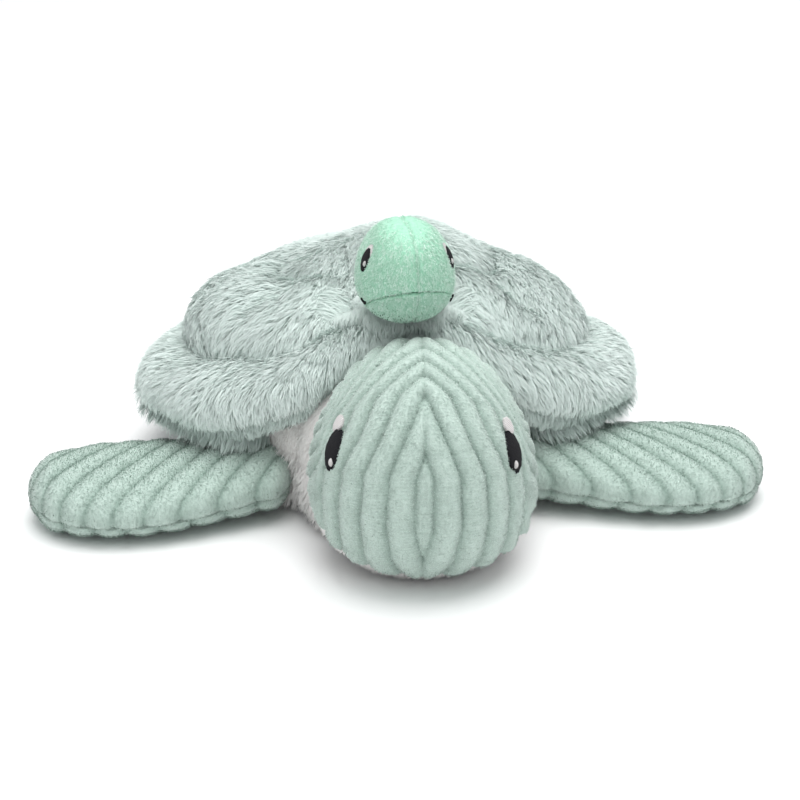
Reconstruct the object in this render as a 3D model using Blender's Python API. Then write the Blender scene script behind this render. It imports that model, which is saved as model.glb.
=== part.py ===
"""Plush sea turtle with a small turtle in the pocket of its shell, as an assembly of stuffed pieces.

The turtle lies on the ground plane and faces -Y, with +Z up. Its own left is +X.
The origin is the middle of the flat face that the belly rests on. Metres and radians throughout.
"""

import math

import bmesh
import bpy
from mathutils import Euler, Matrix, Vector

# Gaps between pieces
SEAT_GAP = 0.0003
SEAM_GAP = 0.0003
TURN_GAP = 0.0004
PILE_GAP = 0.0042
SLIDE_GAP = 0.0004

# Belly: the white plush bag that carries everything
BELLY_WIDTH = 0.140
BELLY_FRONT = 0.083
BELLY_REAR = 0.082
BELLY_TOP = 0.050
BELLY_BULGE = 0.042
BELLY_FRONT_POWER = 2.3
BELLY_SIDE_POWER = 3.0
BELLY_REAR_POWER = 2.8

# Middle of the shell, along the length of the turtle
SHELL_Y = 0.014

# Neck: a round knob at the front of the belly, on the head's turning axis
NECK_Y = -0.050
NECK_RADIUS = 0.042
NECK_MIDDLE = 0.027
NECK_RISE = 0.040
NECK_POWER = 2.4

# Shell dome: a quilted pillow of long-pile plush
DOME_BEYOND_BELLY = 0.0130
DOME_WIDTH = BELLY_WIDTH + 2 * DOME_BEYOND_BELLY
DOME_FRONT = 0.062
DOME_REAR = 0.078
DOME_RISE = 0.0345
DOME_FRONT_POWER = 3.4
DOME_SIDE_POWER = 2.7
DOME_REAR_POWER = 2.6
DOME_CROWN = 0.0150
DOME_CROWN_Y = 0.004
DOME_CROWN_SPAN = 0.029
DOME_CROWN_LENGTH = 0.046
QUILT_DEPTH = 0.0038
QUILT_LINES = 6
QUILT_LINE_WIDTH = 0.0075
QUILT_RING_SHARE = 0.52

# Shell rim: a padded roll all round the dome, lifted over the neck
RIM_BEYOND_BELLY = 0.016
RIM_WIDTH = BELLY_WIDTH + 2 * RIM_BEYOND_BELLY
RIM_FRONT = 0.066
RIM_REAR = 0.084
RIM_LEVEL = 0.0400
RIM_LIFT = 0.0350
RIM_LIFT_SPAN = 0.047
RIM_HALF_WIDTH = 0.0170
RIM_HALF_HEIGHT = 0.0135
RIM_FRONT_HALF_WIDTH = 0.0125
RIM_FRONT_HALF_HEIGHT = 0.0085

# Head: a corduroy egg with a white plush chin
HEAD_WIDTH = 0.088
HEAD_LENGTH = 0.096
HEAD_BELOW = 0.046
HEAD_ABOVE = 0.0445
HEAD_POWER = 2.03
HEAD_TAPER_SHARE = 0.14
HEAD_BEHIND_NECK = 0.006
HEAD_Y = NECK_Y + HEAD_BEHIND_NECK - HEAD_LENGTH / 2
HEAD_Z = 0.043
HEAD_SWING = math.radians(10)
CHIN_SEAM_FRONT = 0.034
CHIN_SEAM_SLOPE = math.radians(42)
HEAD_SEAM_DEPTH = 0.0012
HEAD_SEAM_WIDTH = 0.0045

# Embroidered eyes, as turns round the head from its nose and up from its middle
EYE_TURN = math.radians(59)
EYE_LIFT = math.radians(16.5)
EYE_WIDTH = 0.0088
EYE_HEIGHT = 0.0168
EYE_RAISE = 0.0009
EYE_WHITE_WIDTH = 0.0060
EYE_WHITE_HEIGHT = 0.0090
EYE_WHITE_LIFT = math.radians(31)
EYE_WHITE_TURN = math.radians(61)

# Front flippers, each turning on an upright axis inside a round shoulder of the belly
SHOULDER_INSET = 0.026
SHOULDER_X = BELLY_WIDTH / 2 - SHOULDER_INSET
SHOULDER_Y = -0.038
SHOULDER_RADIUS = 0.018
SHOULDER_HEIGHT = 0.036
FRONT_LENGTH = 0.1065
FRONT_ROOT_WIDTH = 0.046
FRONT_WIDTH = 0.070
FRONT_THICKNESS = 0.024
FRONT_ROOT_LIFT = 0.005
FRONT_SWEEP = math.radians(-3)
FRONT_FORWARD = math.radians(12)
FRONT_BACK = math.radians(20)

# Rear flippers
HIP_INSET = 0.032
HIP_X = BELLY_WIDTH / 2 - HIP_INSET
HIP_Y = 0.064
HIP_RADIUS = 0.018
HIP_HEIGHT = 0.030
REAR_LENGTH = 0.080
REAR_ROOT_WIDTH = 0.028
REAR_WIDTH = 0.044
REAR_THICKNESS = 0.018
REAR_ROOT_LIFT = 0.003
REAR_SWEEP = math.radians(50)
REAR_SWING = math.radians(15)

# Tail
TAIL_Y = 0.084
TAIL_RADIUS = 0.010
TAIL_HEIGHT = 0.024
TAIL_LENGTH = 0.048
TAIL_ROOT_WIDTH = 0.016
TAIL_WIDTH = 0.018
TAIL_THICKNESS = 0.013
TAIL_ROOT_LIFT = 0.002
TAIL_SWING = math.radians(15)

# Where a limb is widest, and how far out it stays lifted, as shares of its length
LIMB_WIDEST_SHARE = 0.60
LIMB_LANDING_SHARE = 0.60

# Small turtle: its body in the pocket
BABY_Y = -0.020
BABY_Z = 0.0775
BABY_PITCH = math.radians(20)
BABY_WIDTH = 0.041
BABY_LENGTH = 0.062
BABY_BELOW = 0.0090
BABY_SHELL_RISE = 0.0090
BABY_NECK_RADIUS = 0.0105
BABY_NECK_BEYOND = 0.0055
BABY_NECK_REACH = BABY_LENGTH / 2 + BABY_NECK_BEYOND
BABY_NECK_LIFT = 0.0025

# Small turtle: its head
BABY_HEAD_WIDTH = 0.038
BABY_HEAD_LENGTH = 0.044
BABY_HEAD_HEIGHT = 0.0385
BABY_HEAD_TAPER_SHARE = 0.14
BABY_HEAD_Y = -0.062
BABY_HEAD_Z = 0.1088
BABY_HEAD_TURN = math.radians(8)
BABY_MOUTH_DROP = 0.0139
BABY_MOUTH_SLOPE = math.radians(28)
BABY_EYE_TURN = math.radians(68)
BABY_EYE_LIFT = math.radians(31)
BABY_EYE_WIDTH = 0.0052
BABY_EYE_HEIGHT = 0.0100
BABY_EYE_RAISE = 0.0007
BABY_MOUTH_TURN = math.radians(66)
BABY_THREAD_RADIUS = 0.00045
BABY_THREAD_LENGTH = 0.0045

# Small turtle: its flippers, folded along its sides
BABY_FRONT_LENGTH = 0.027
BABY_FRONT_Y = 0.004
BABY_FRONT_WIDTH = 0.0075
BABY_REAR_LENGTH = 0.024
BABY_REAR_WIDTH = 0.010
BABY_FLIPPER_THICKNESS = 0.006

# Pocket in the dome
LINING_THICKNESS = 0.0012
POCKET_END_SPARE = 0.0045
POCKET_POWER = 2.5

# Facets
LIMB_RINGS = 12
LIMB_SIDES = 16
SMALL_RINGS = 8
SMALL_SIDES = 12

# Colours and surfaces as in the photograph, linear
SAGE_PILE = (0.50, 0.60, 0.55)
SAGE_CORD = (0.40, 0.53, 0.46)
WHITE_PLUSH = (0.82, 0.79, 0.76)
MINT_VELOUR = (0.32, 0.62, 0.46)
BLACK_THREAD = (0.012, 0.012, 0.015)
WHITE_THREAD = (0.86, 0.84, 0.84)
COTTON_LINING = (0.62, 0.68, 0.63)

SIDES = (("left", 1), ("right", -1))


def clear_scene():
    for obj in list(bpy.data.objects):
        bpy.data.objects.remove(obj, do_unlink=True)


def new_collection(name):
    collection = bpy.data.collections.new(name)
    bpy.context.scene.collection.children.link(collection)
    return collection


def fabric(name, colour, roughness=0.95):
    material = bpy.data.materials.new(name)
    material.use_nodes = True
    shader = material.node_tree.nodes["Principled BSDF"]
    shader.inputs["Base Color"].default_value = (*colour, 1)
    shader.inputs["Roughness"].default_value = roughness
    shader.inputs["Metallic"].default_value = 0
    return material


def signed_power(value, power):
    return math.copysign(abs(value) ** power, value)


def link_mesh(name, bm, collection, material=None):
    """Turns a bmesh into a smooth-shaded object of its own."""
    mesh = bpy.data.meshes.new(name)
    bmesh.ops.recalc_face_normals(bm, faces=bm.faces)
    bm.to_mesh(mesh)
    bm.free()
    mesh.shade_smooth()
    obj = bpy.data.objects.new(name, mesh)
    collection.objects.link(obj)
    if material:
        mesh.materials.append(material)
    return obj


def stuffed(name, form, rings, sides, collection, material=None, lengthwise=False):
    """A closed bag: a unit sphere whose points are moved by form. Lengthwise puts its poles along X."""
    bm = bmesh.new()
    bmesh.ops.create_uvsphere(bm, u_segments=sides, v_segments=rings, radius=1)
    if lengthwise:
        bmesh.ops.rotate(bm, verts=bm.verts, matrix=Matrix.Rotation(math.pi / 2, 3, "Y"))
    for vert in bm.verts:
        vert.co = form(vert.co.normalized())
    return link_mesh(name, bm, collection, material)


def wrapped(name, shapes, rings, sides, collection, material=None):
    """A closed solid wrapped round several shapes, each of them a form and the place where it is put."""
    bm = bmesh.new()
    for form, place in shapes:
        ball = bmesh.new()
        bmesh.ops.create_uvsphere(ball, u_segments=sides, v_segments=rings, radius=1)
        for vert in ball.verts:
            bm.verts.new(place @ form(vert.co.normalized()))
        ball.free()
    found = bmesh.ops.convex_hull(bm, input=bm.verts)
    spare = set(found["geom_interior"]) | set(found["geom_unused"])
    bmesh.ops.delete(bm, geom=[item for item in spare if isinstance(item, bmesh.types.BMVert)], context="VERTS")
    return link_mesh(name, bm, collection, material)


def as_cutter(obj):
    """Marks an object as a guide, which the finished toy leaves out."""
    obj.hide_render = True
    obj.display_type = "WIRE"
    return obj


def boolean(obj, tool, operation="DIFFERENCE"):
    modifier = obj.modifiers.new(operation.lower() + "_" + tool.name, "BOOLEAN")
    modifier.object = tool
    modifier.operation = operation
    modifier.solver = "EXACT"
    return obj


def cut(obj, *tools):
    for tool in tools:
        boolean(obj, tool)
    return obj


def rounded(unit, half_x, front, rear, below, above, power):
    """A superellipsoid with its own reach to the front (-Y), rear, bottom and top."""
    level = signed_power(unit.z, 2 / power)
    around = math.hypot(unit.x, unit.y)
    spread = around ** (2 / power)
    if around == 0:
        return Vector((0, 0, level * (above if level > 0 else below)))
    x, y = unit.x / around, unit.y / around
    return Vector((
        half_x * spread * x,
        (front if y < 0 else rear) * spread * y,
        (above if level > 0 else below) * level,
    ))


def turned_power(unit, front, side, rear):
    """A power that changes smoothly with the direction in plan, from the front to the sides and the rear."""
    around = unit.x ** 2 + unit.y ** 2
    lengthways = unit.y ** 2 / around if around > 0 else 0.0
    return side + ((front if unit.y < 0 else rear) - side) * lengthways


def held_between(point, low, high):
    point.z = min(max(point.z, low), high)
    return point


def belly_form(grow=0.0):
    """The belly bag, flat on the ground and flat under the dome."""
    def form(unit):
        power = turned_power(unit, BELLY_FRONT_POWER, BELLY_SIDE_POWER, BELLY_REAR_POWER)
        point = rounded(
            unit, BELLY_WIDTH / 2 + grow, BELLY_FRONT + grow, BELLY_REAR + grow,
            BELLY_BULGE + grow, BELLY_BULGE + grow, power)
        point += Vector((0, SHELL_Y, BELLY_TOP / 2))
        return held_between(point, 0.0, BELLY_TOP + grow)
    return form


def neck_form(grow=0.0):
    """A knob of revolution about the head's turning axis, standing on the ground."""
    def form(unit):
        point = rounded(
            unit, NECK_RADIUS + grow, NECK_RADIUS + grow, NECK_RADIUS + grow,
            NECK_RISE + grow, NECK_RISE + grow, NECK_POWER)
        point += Vector((0, NECK_Y, NECK_MIDDLE))
        return held_between(point, -grow, NECK_MIDDLE + NECK_RISE + grow)
    return form


def barrel_form(radius, height, grow=0.0):
    """A rounded upright barrel on the ground about its own axis, for a limb to turn round."""
    def form(unit):
        point = rounded(
            unit, radius + grow, radius + grow, radius + grow, height / 2 + grow, height / 2 + grow, 3)
        return point + Vector((0, 0, height / 2))
    return form


def quilt_press(x, y):
    """How far the stitched lines pull the dome in at a place in plan: a ring, and lines out from it."""
    reach = math.hypot(x / (DOME_WIDTH / 2), y / (DOME_REAR if y > 0 else DOME_FRONT))
    mean_radius = (DOME_WIDTH / 2 + DOME_REAR) / 2
    from_ring = (reach - QUILT_RING_SHARE) * mean_radius
    ring = math.exp(-(from_ring / QUILT_LINE_WIDTH) ** 2)
    step = 2 * math.pi / QUILT_LINES
    angle = math.atan2(x, y)
    off = (angle + step / 2) % step - step / 2
    from_line = abs(math.sin(off)) * reach * mean_radius
    line = math.exp(-(from_line / QUILT_LINE_WIDTH) ** 2) if reach > QUILT_RING_SHARE else 0.0
    fade = max(0.0, 1 - reach ** 6)
    return QUILT_DEPTH * max(ring, line) * fade


def dome_form(grow=0.0, quilted=True):
    """The dome: a half pillow whose flat side lies on the belly."""
    def form(unit):
        power = turned_power(unit, DOME_FRONT_POWER, DOME_SIDE_POWER, DOME_REAR_POWER)
        point = rounded(
            unit, DOME_WIDTH / 2 + grow, DOME_FRONT + grow, DOME_REAR + grow,
            0.0, DOME_RISE + grow, power)
        if point.z > 0:
            behind = point.y + SHELL_Y - DOME_CROWN_Y
            away = math.hypot(point.x / DOME_CROWN_SPAN, behind / DOME_CROWN_LENGTH)
            point.z += DOME_CROWN * math.exp(-away ** 2)
        if quilted and point.z > 0:
            point.z -= quilt_press(point.x, point.y) * min(1.0, point.z / (DOME_RISE / 2))
        return point + Vector((0, SHELL_Y, BELLY_TOP + SEAM_GAP - min(grow, SEAM_GAP)))
    return form


def rim_point(turn, around):
    """A point on the rim roll, from its turn round the shell (0 at the front) and round its section."""
    reach = RIM_FRONT if math.cos(turn) > 0 else RIM_REAR
    x = RIM_WIDTH / 2 * math.sin(turn)
    y = SHELL_Y - reach * math.cos(turn)
    front = math.exp(-(x / RIM_LIFT_SPAN) ** 2) if math.cos(turn) > 0 else 0.0
    if math.cos(turn) > 0:
        front *= min(1.0, 2 * math.cos(turn))
    level = RIM_LEVEL + RIM_LIFT * front
    out = Vector((reach * math.sin(turn), -RIM_WIDTH / 2 * math.cos(turn), 0)).normalized()
    half_width = RIM_HALF_WIDTH + (RIM_FRONT_HALF_WIDTH - RIM_HALF_WIDTH) * front
    half_height = RIM_HALF_HEIGHT + (RIM_FRONT_HALF_HEIGHT - RIM_HALF_HEIGHT) * front
    return Vector((x, y, level)) + out * half_width * math.cos(around) + Vector((0, 0, half_height * math.sin(around)))


def head_form(grow=0.0, seamed=True):
    """The head egg, narrow at the crown and flat on the ground, with a seam pulled in along its middle."""
    def form(unit):
        point = rounded(
            unit, HEAD_WIDTH / 2 + grow, HEAD_LENGTH / 2 + grow, HEAD_LENGTH / 2 + grow,
            HEAD_BELOW + grow, HEAD_ABOVE + grow, HEAD_POWER)
        point.x *= 1 - HEAD_TAPER_SHARE * unit.z
        if seamed:
            pull = HEAD_SEAM_DEPTH * math.exp(-(point.x / HEAD_SEAM_WIDTH) ** 2)
            point -= unit * pull
        point += Vector((0, HEAD_Y, HEAD_Z))
        return held_between(point, -grow, HEAD_Z + HEAD_ABOVE + grow)
    return form


def limb_form(length, root_width, width, thickness, root_lift):
    """A flipper lying along +X from its turning axis, swelling from its root and tapering to its tip."""
    blunt = root_width / 4
    widest = length * LIMB_WIDEST_SHARE

    def half_width(along):
        share = min(along / widest, 1.0)
        half = root_width / 2 + (width - root_width) / 2 * (3 * share ** 2 - 2 * share ** 3)
        if along < blunt:
            return half * math.sqrt(1 - (1 - along / blunt) ** 2)
        if along > widest:
            return half * (1 - ((along - widest) / (length - widest)) ** 2.4) ** 0.5
        return half

    def form(unit):
        along = length * (1 + unit.x) / 2
        around = math.hypot(unit.y, unit.z)
        side, up = (unit.y / around, unit.z / around) if around > 0 else (0.0, 0.0)
        wide = half_width(along)
        puff = min(1.0, (2 * wide / root_width) ** 0.8)
        lift = root_lift * max(0.0, 1 - along / (length * LIMB_LANDING_SHARE)) ** 1.5
        level = thickness / 2 + lift
        return Vector((along, wide * signed_power(side, 0.9), level + thickness / 2 * puff * signed_power(up, 0.9)))
    return form


def swept_room(name, root, low, high, tools):
    """The room that the belly and neck take round a limb's axis as the limb turns, as a cutter."""
    steps = 5
    middle = Matrix.Translation((*root, 0))
    shapes = []
    for i in range(steps):
        turn = middle @ Matrix.Rotation(-(low + (high - low) * i / (steps - 1)), 4, "Z") @ middle.inverted()
        shapes += [(belly_form(TURN_GAP), turn), (neck_form(TURN_GAP), turn)]
    return as_cutter(wrapped(name, shapes, 12, 36, tools))


def head_room(name, tools):
    """The room of the neck and of the head as it turns on it, with that of the pile between, as a cutter."""
    steps = 5
    form = head_form(PILE_GAP, seamed=False)
    middle = Matrix.Translation((0, NECK_Y, 0))
    shapes = [(neck_form(SEAM_GAP), Matrix())]
    for i in range(steps):
        turn = middle @ Matrix.Rotation(HEAD_SWING * (2 * i / (steps - 1) - 1), 4, "Z") @ middle.inverted()
        shapes.append((form, turn))
    return as_cutter(wrapped(name, shapes, 20, 36, tools))


def make_limb(name, sizes, joint, root, heading, swing, parts, tools, fabrics):
    """Makes a limb on its turning axis and cuts its seat round the barrel and the belly bag."""
    limb = stuffed(name, limb_form(*sizes), LIMB_RINGS, LIMB_SIDES, parts, fabrics["cord"], lengthwise=True)
    limb.location = (*root, 0)
    limb.rotation_euler = Euler((0, 0, heading))
    barrel = as_cutter(stuffed(name + "_seat", barrel_form(*joint, TURN_GAP), 8, 20, tools))
    barrel.location = (*root, 0)
    return cut(limb, barrel, swept_room(name + "_sweep", root, *swing, tools))


def half_space(name, point, normal, size, tools):
    """A big box whose near face passes through a point, to cut off what lies along normal."""
    bm = bmesh.new()
    bmesh.ops.create_cube(bm, size=size)
    bmesh.ops.translate(bm, verts=bm.verts, vec=(0, 0, size / 2))
    box = as_cutter(link_mesh(name, bm, tools))
    box.rotation_euler = Vector(normal).to_track_quat("Z", "Y").to_euler()
    box.location = point
    return box


def direction(turn, lift, side):
    """A unit direction from the nose (-Y): turned to one side and lifted."""
    return Vector((
        side * math.sin(turn) * math.cos(lift),
        -math.cos(turn) * math.cos(lift),
        math.sin(lift),
    ))


def patch(name, form, unit, width, height, raise_by, sides, collection, material):
    """A thin oval of thread lying on a form at unit, its long way up the form."""
    nearby_share = 0.01
    across = Vector((0, 0, 1)).cross(unit).normalized()
    upward = unit.cross(across)
    spot = form(unit)
    along_x = form((unit + across * nearby_share).normalized()) - spot
    along_z = form((unit + upward * nearby_share).normalized()) - spot
    outward = along_x.cross(along_z).normalized()
    depth = raise_by * 3
    bm = bmesh.new()
    bmesh.ops.create_uvsphere(bm, u_segments=sides, v_segments=6, radius=1)
    bmesh.ops.scale(bm, verts=bm.verts, vec=(width / 2, height / 2, depth))
    oval = link_mesh(name, bm, collection, material)
    right = along_x.normalized()
    up = outward.cross(right)
    oval.matrix_world = Matrix.Translation(spot - outward * (depth - raise_by)) @ Matrix((
        (right.x, up.x, outward.x, 0),
        (right.y, up.y, outward.y, 0),
        (right.z, up.z, outward.z, 0),
        (0, 0, 0, 1),
    ))
    return oval


def barrel_list():
    """Name, place and sizes of each barrel that the belly carries for a limb."""
    barrels = [("tail_barrel", (0, TAIL_Y), (TAIL_RADIUS, TAIL_HEIGHT))]
    for label, side in SIDES:
        barrels.append(("shoulder_" + label, (side * SHOULDER_X, SHOULDER_Y), (SHOULDER_RADIUS, SHOULDER_HEIGHT)))
        barrels.append(("hip_" + label, (side * HIP_X, HIP_Y), (HIP_RADIUS, HIP_HEIGHT)))
    return barrels


def make_body(parts, tools, fabrics):
    """Belly with neck and limb seats, dome with its pocket, rim and lining."""
    belly = stuffed("belly", belly_form(), 12, 32, parts, fabrics["white"])
    neck = as_cutter(stuffed("neck_knob", neck_form(), 12, 24, tools))
    boolean(belly, neck, "UNION")
    barrels = []
    for name, spot, joint in barrel_list():
        barrel = as_cutter(stuffed(name, barrel_form(*joint), 8, 20, tools))
        barrel.location = (*spot, 0)
        boolean(belly, barrel, "UNION")
        grown = as_cutter(stuffed(name + "_in_rim", barrel_form(*joint, SEAM_GAP), 8, 20, tools))
        grown.location = (*spot, 0)
        barrels.append(grown)

    dome = stuffed("shell_dome", dome_form(), 24, 44, parts, fabrics["pile"])
    cut(dome, as_cutter(stuffed("neck_under_dome", neck_form(SEAT_GAP), 12, 24, tools)))

    rim = make_rim(parts, fabrics)
    cut(
        rim,
        head_room("head_in_rim", tools),
        as_cutter(stuffed("dome_in_rim", dome_form(SEAM_GAP, quilted=False), 24, 44, tools)),
        as_cutter(stuffed("belly_in_rim", belly_form(SEAM_GAP), 12, 32, tools)),
        *barrels,
    )
    make_pocket(dome, rim, parts, tools, fabrics)


def make_rim(parts, fabrics):
    """The padded roll: a torus whose points are laid along the edge of the shell."""
    major, minor = 48, 10
    bpy.ops.mesh.primitive_torus_add(
        major_segments=major, minor_segments=minor, major_radius=1, minor_radius=0.25)
    rim = bpy.context.object
    rim.name = "shell_rim"
    for vert in rim.data.vertices:
        out = math.hypot(vert.co.x, vert.co.y)
        vert.co = rim_point(math.atan2(vert.co.x, -vert.co.y), math.atan2(vert.co.z, out - 1))
    rim.data.shade_smooth()
    rim.data.materials.append(fabrics["pile"])
    for collection in list(rim.users_collection):
        collection.objects.unlink(rim)
    parts.objects.link(rim)
    return rim


def pocket_solid(name, grow, collection, material=None):
    """The room that the small turtle's body takes as it slides out along its own -Y, grown by a wall."""
    half_width = BABY_WIDTH / 2 + BABY_FRONT_WIDTH + SEAT_GAP + grow
    half_height = max(BABY_BELOW, BABY_SHELL_RISE) + grow
    front = BABY_LENGTH / 2 + grow
    rear = BABY_LENGTH / 2 + BABY_REAR_LENGTH / 2 + POCKET_END_SPARE + grow

    def form(unit):
        return rounded(unit, half_width, front, rear, half_height, half_height, POCKET_POWER)

    out = Matrix.Translation((0, -BABY_LENGTH, 0))
    solid = wrapped(name, [(form, Matrix()), (form, out)], 12, 24, collection, material)
    solid.matrix_world = baby_frame_matrix()
    return solid


def baby_frame_matrix():
    """The small turtle's own frame: its middle, pitched so that -Y points up and out of the pocket."""
    return Matrix.Translation((0, BABY_Y, BABY_Z)) @ Matrix.Rotation(-BABY_PITCH, 4, "X")


def baby_head_matrix():
    return Matrix.Translation((0, BABY_HEAD_Y, BABY_HEAD_Z)) @ Matrix.Rotation(BABY_HEAD_TURN, 4, "Z")


def make_pocket(dome, rim, parts, tools, fabrics):
    """Cuts the pocket into the dome and rim, and lines it."""
    baby_head = as_cutter(stuffed("baby_head_in_dome", baby_head_form(PILE_GAP), 12, 24, tools))
    baby_head.matrix_world = baby_head_matrix()
    outside = SLIDE_GAP + LINING_THICKNESS
    hollow = as_cutter(pocket_solid("pocket_hollow", outside + SEAT_GAP, tools))
    cut(dome, hollow, baby_head)
    cut(rim, hollow)
    room = as_cutter(pocket_solid("pocket_room", SLIDE_GAP, tools))
    lining = cut(pocket_solid("pocket_lining", outside, parts, fabrics["lining"]), room)
    inside = as_cutter(stuffed("dome_round_lining", dome_form(-SEAT_GAP), 24, 44, tools))
    boolean(lining, inside, "INTERSECT")
    cut(lining, baby_head)


def make_head(parts, tools, fabrics):
    """Head egg and chin, parted along the sloping seam, seated on the neck knob, with embroidered eyes."""
    knob = as_cutter(stuffed("knob_in_head", neck_form(TURN_GAP), 12, 24, tools))
    seam_point = Vector((0, HEAD_Y - CHIN_SEAM_FRONT, 0))
    behind = Vector((0, math.sin(CHIN_SEAM_SLOPE), -math.cos(CHIN_SEAM_SLOPE)))
    size = 3 * HEAD_LENGTH

    head = stuffed("head", head_form(), 20, 36, parts, fabrics["cord"])
    cut(head, half_space("chin_side", seam_point - behind * SEAM_GAP / 2, behind, size, tools), knob)
    chin = stuffed("chin", head_form(seamed=False), 20, 36, parts, fabrics["white"])
    cut(chin, half_space("face_side", seam_point + behind * SEAM_GAP / 2, -behind, size, tools), knob)

    skin = as_cutter(stuffed("head_skin", head_form(SEAT_GAP, seamed=False), 20, 36, tools))
    for label, side in SIDES:
        unit = direction(EYE_TURN, EYE_LIFT, side)
        eye = patch(
            "eye_" + label, head_form(seamed=False), unit, EYE_WIDTH, EYE_HEIGHT, EYE_RAISE, 16, parts,
            fabrics["black"])
        cut(eye, skin)
        unit = direction(EYE_WHITE_TURN, EYE_WHITE_LIFT, side)
        white = patch(
            "eye_white_" + label, head_form(seamed=False), unit, EYE_WHITE_WIDTH, EYE_WHITE_HEIGHT, EYE_RAISE, 14,
            parts, fabrics["thread"])
        cut(white, skin)


def make_limbs(parts, tools, fabrics):
    front = (FRONT_LENGTH, FRONT_ROOT_WIDTH, FRONT_WIDTH, FRONT_THICKNESS, FRONT_ROOT_LIFT)
    rear = (REAR_LENGTH, REAR_ROOT_WIDTH, REAR_WIDTH, REAR_THICKNESS, REAR_ROOT_LIFT)
    tail = (TAIL_LENGTH, TAIL_ROOT_WIDTH, TAIL_WIDTH, TAIL_THICKNESS, TAIL_ROOT_LIFT)
    for label, side in SIDES:
        facing = 0 if side > 0 else math.pi
        forward, back = -side * FRONT_FORWARD, side * FRONT_BACK
        make_limb(
            "front_flipper_" + label, front, (SHOULDER_RADIUS, SHOULDER_HEIGHT), (side * SHOULDER_X, SHOULDER_Y),
            facing + side * FRONT_SWEEP, (min(forward, back), max(forward, back)), parts, tools, fabrics)
        make_limb(
            "rear_flipper_" + label, rear, (HIP_RADIUS, HIP_HEIGHT), (side * HIP_X, HIP_Y),
            facing + side * REAR_SWEEP, (-REAR_SWING, REAR_SWING), parts, tools, fabrics)
    make_limb(
        "tail", tail, (TAIL_RADIUS, TAIL_HEIGHT), (0, TAIL_Y),
        math.pi / 2, (-TAIL_SWING, TAIL_SWING), parts, tools, fabrics)


def make_baby(parts, tools, fabrics):
    """The small turtle: body and shell back to back in the pocket, folded flippers, and a head outside."""
    frame = baby_frame_matrix()

    def lower(unit):
        point = rounded(unit, BABY_WIDTH / 2, BABY_LENGTH / 2, BABY_LENGTH / 2, BABY_BELOW, 0.0, 2.2)
        return point - Vector((0, 0, SEAM_GAP / 2))

    def upper(unit):
        point = rounded(unit, BABY_WIDTH / 2, BABY_LENGTH / 2, BABY_LENGTH / 2, 0.0, BABY_SHELL_RISE, 2.2)
        return point + Vector((0, 0, SEAM_GAP / 2))

    neck_spot = Vector((0, -BABY_NECK_REACH, BABY_NECK_LIFT))

    def knob(grow):
        return lambda unit: unit * (BABY_NECK_RADIUS + grow) + neck_spot

    body = stuffed("baby_body", lower, 12, 24, parts, fabrics["mint"])
    neck = as_cutter(stuffed("baby_neck_knob", knob(0.0), 10, 20, tools))
    shell = stuffed("baby_shell", upper, 12, 24, parts, fabrics["pile"])
    shell_skin = as_cutter(stuffed("baby_neck_in_shell", knob(SEAT_GAP), 10, 20, tools))
    boolean(body, neck, "UNION")
    cut(shell, shell_skin)
    for obj in (body, neck, shell, shell_skin):
        obj.matrix_world = frame

    for label, side in SIDES:
        fold_baby_flipper(
            "baby_front_flipper_" + label, BABY_FRONT_LENGTH, BABY_FRONT_WIDTH,
            (side * (BABY_WIDTH / 2 + BABY_FRONT_WIDTH / 2 - SEAT_GAP), BABY_FRONT_Y), math.pi / 2, parts, tools, fabrics)
        fold_baby_flipper(
            "baby_rear_flipper_" + label, BABY_REAR_LENGTH, BABY_REAR_WIDTH,
            (side * BABY_WIDTH / 4, BABY_LENGTH / 2 - SEAT_GAP), math.pi / 2, parts, tools, fabrics)
    make_baby_head(parts, tools, fabrics, frame @ neck_spot)


def fold_baby_flipper(name, length, width, spot, heading, parts, tools, fabrics):
    """A small flat flipper lying beside the body, trimmed to fit against it."""
    def form(unit):
        return rounded(
            unit, length / 2, width / 2, width / 2, BABY_FLIPPER_THICKNESS / 2, BABY_FLIPPER_THICKNESS / 2, 2)

    frame = baby_frame_matrix()
    flipper = stuffed(name, form, SMALL_RINGS, SMALL_SIDES, parts, fabrics["mint"])
    flipper.matrix_world = frame @ Matrix.Translation((*spot, 0)) @ Matrix.Rotation(heading, 4, "Z")

    def skin(unit):
        half = BABY_LENGTH / 2 + SEAT_GAP
        return rounded(
            unit, BABY_WIDTH / 2 + SEAT_GAP, half, half, BABY_BELOW + SEAT_GAP, BABY_SHELL_RISE + SEAT_GAP, 2.2)

    keep_off = as_cutter(stuffed(name + "_seat", skin, 10, 24, tools))
    keep_off.matrix_world = frame
    cut(flipper, keep_off)


def baby_head_form(grow=0.0):
    """The small head: an egg that is narrow at the crown."""
    half = BABY_HEAD_LENGTH / 2 + grow
    tall = BABY_HEAD_HEIGHT / 2 + grow

    def form(unit):
        point = rounded(unit, BABY_HEAD_WIDTH / 2 + grow, half, half, tall, tall, 2.3)
        point.x *= 1 - BABY_HEAD_TAPER_SHARE * unit.z
        return point
    return form


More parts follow.
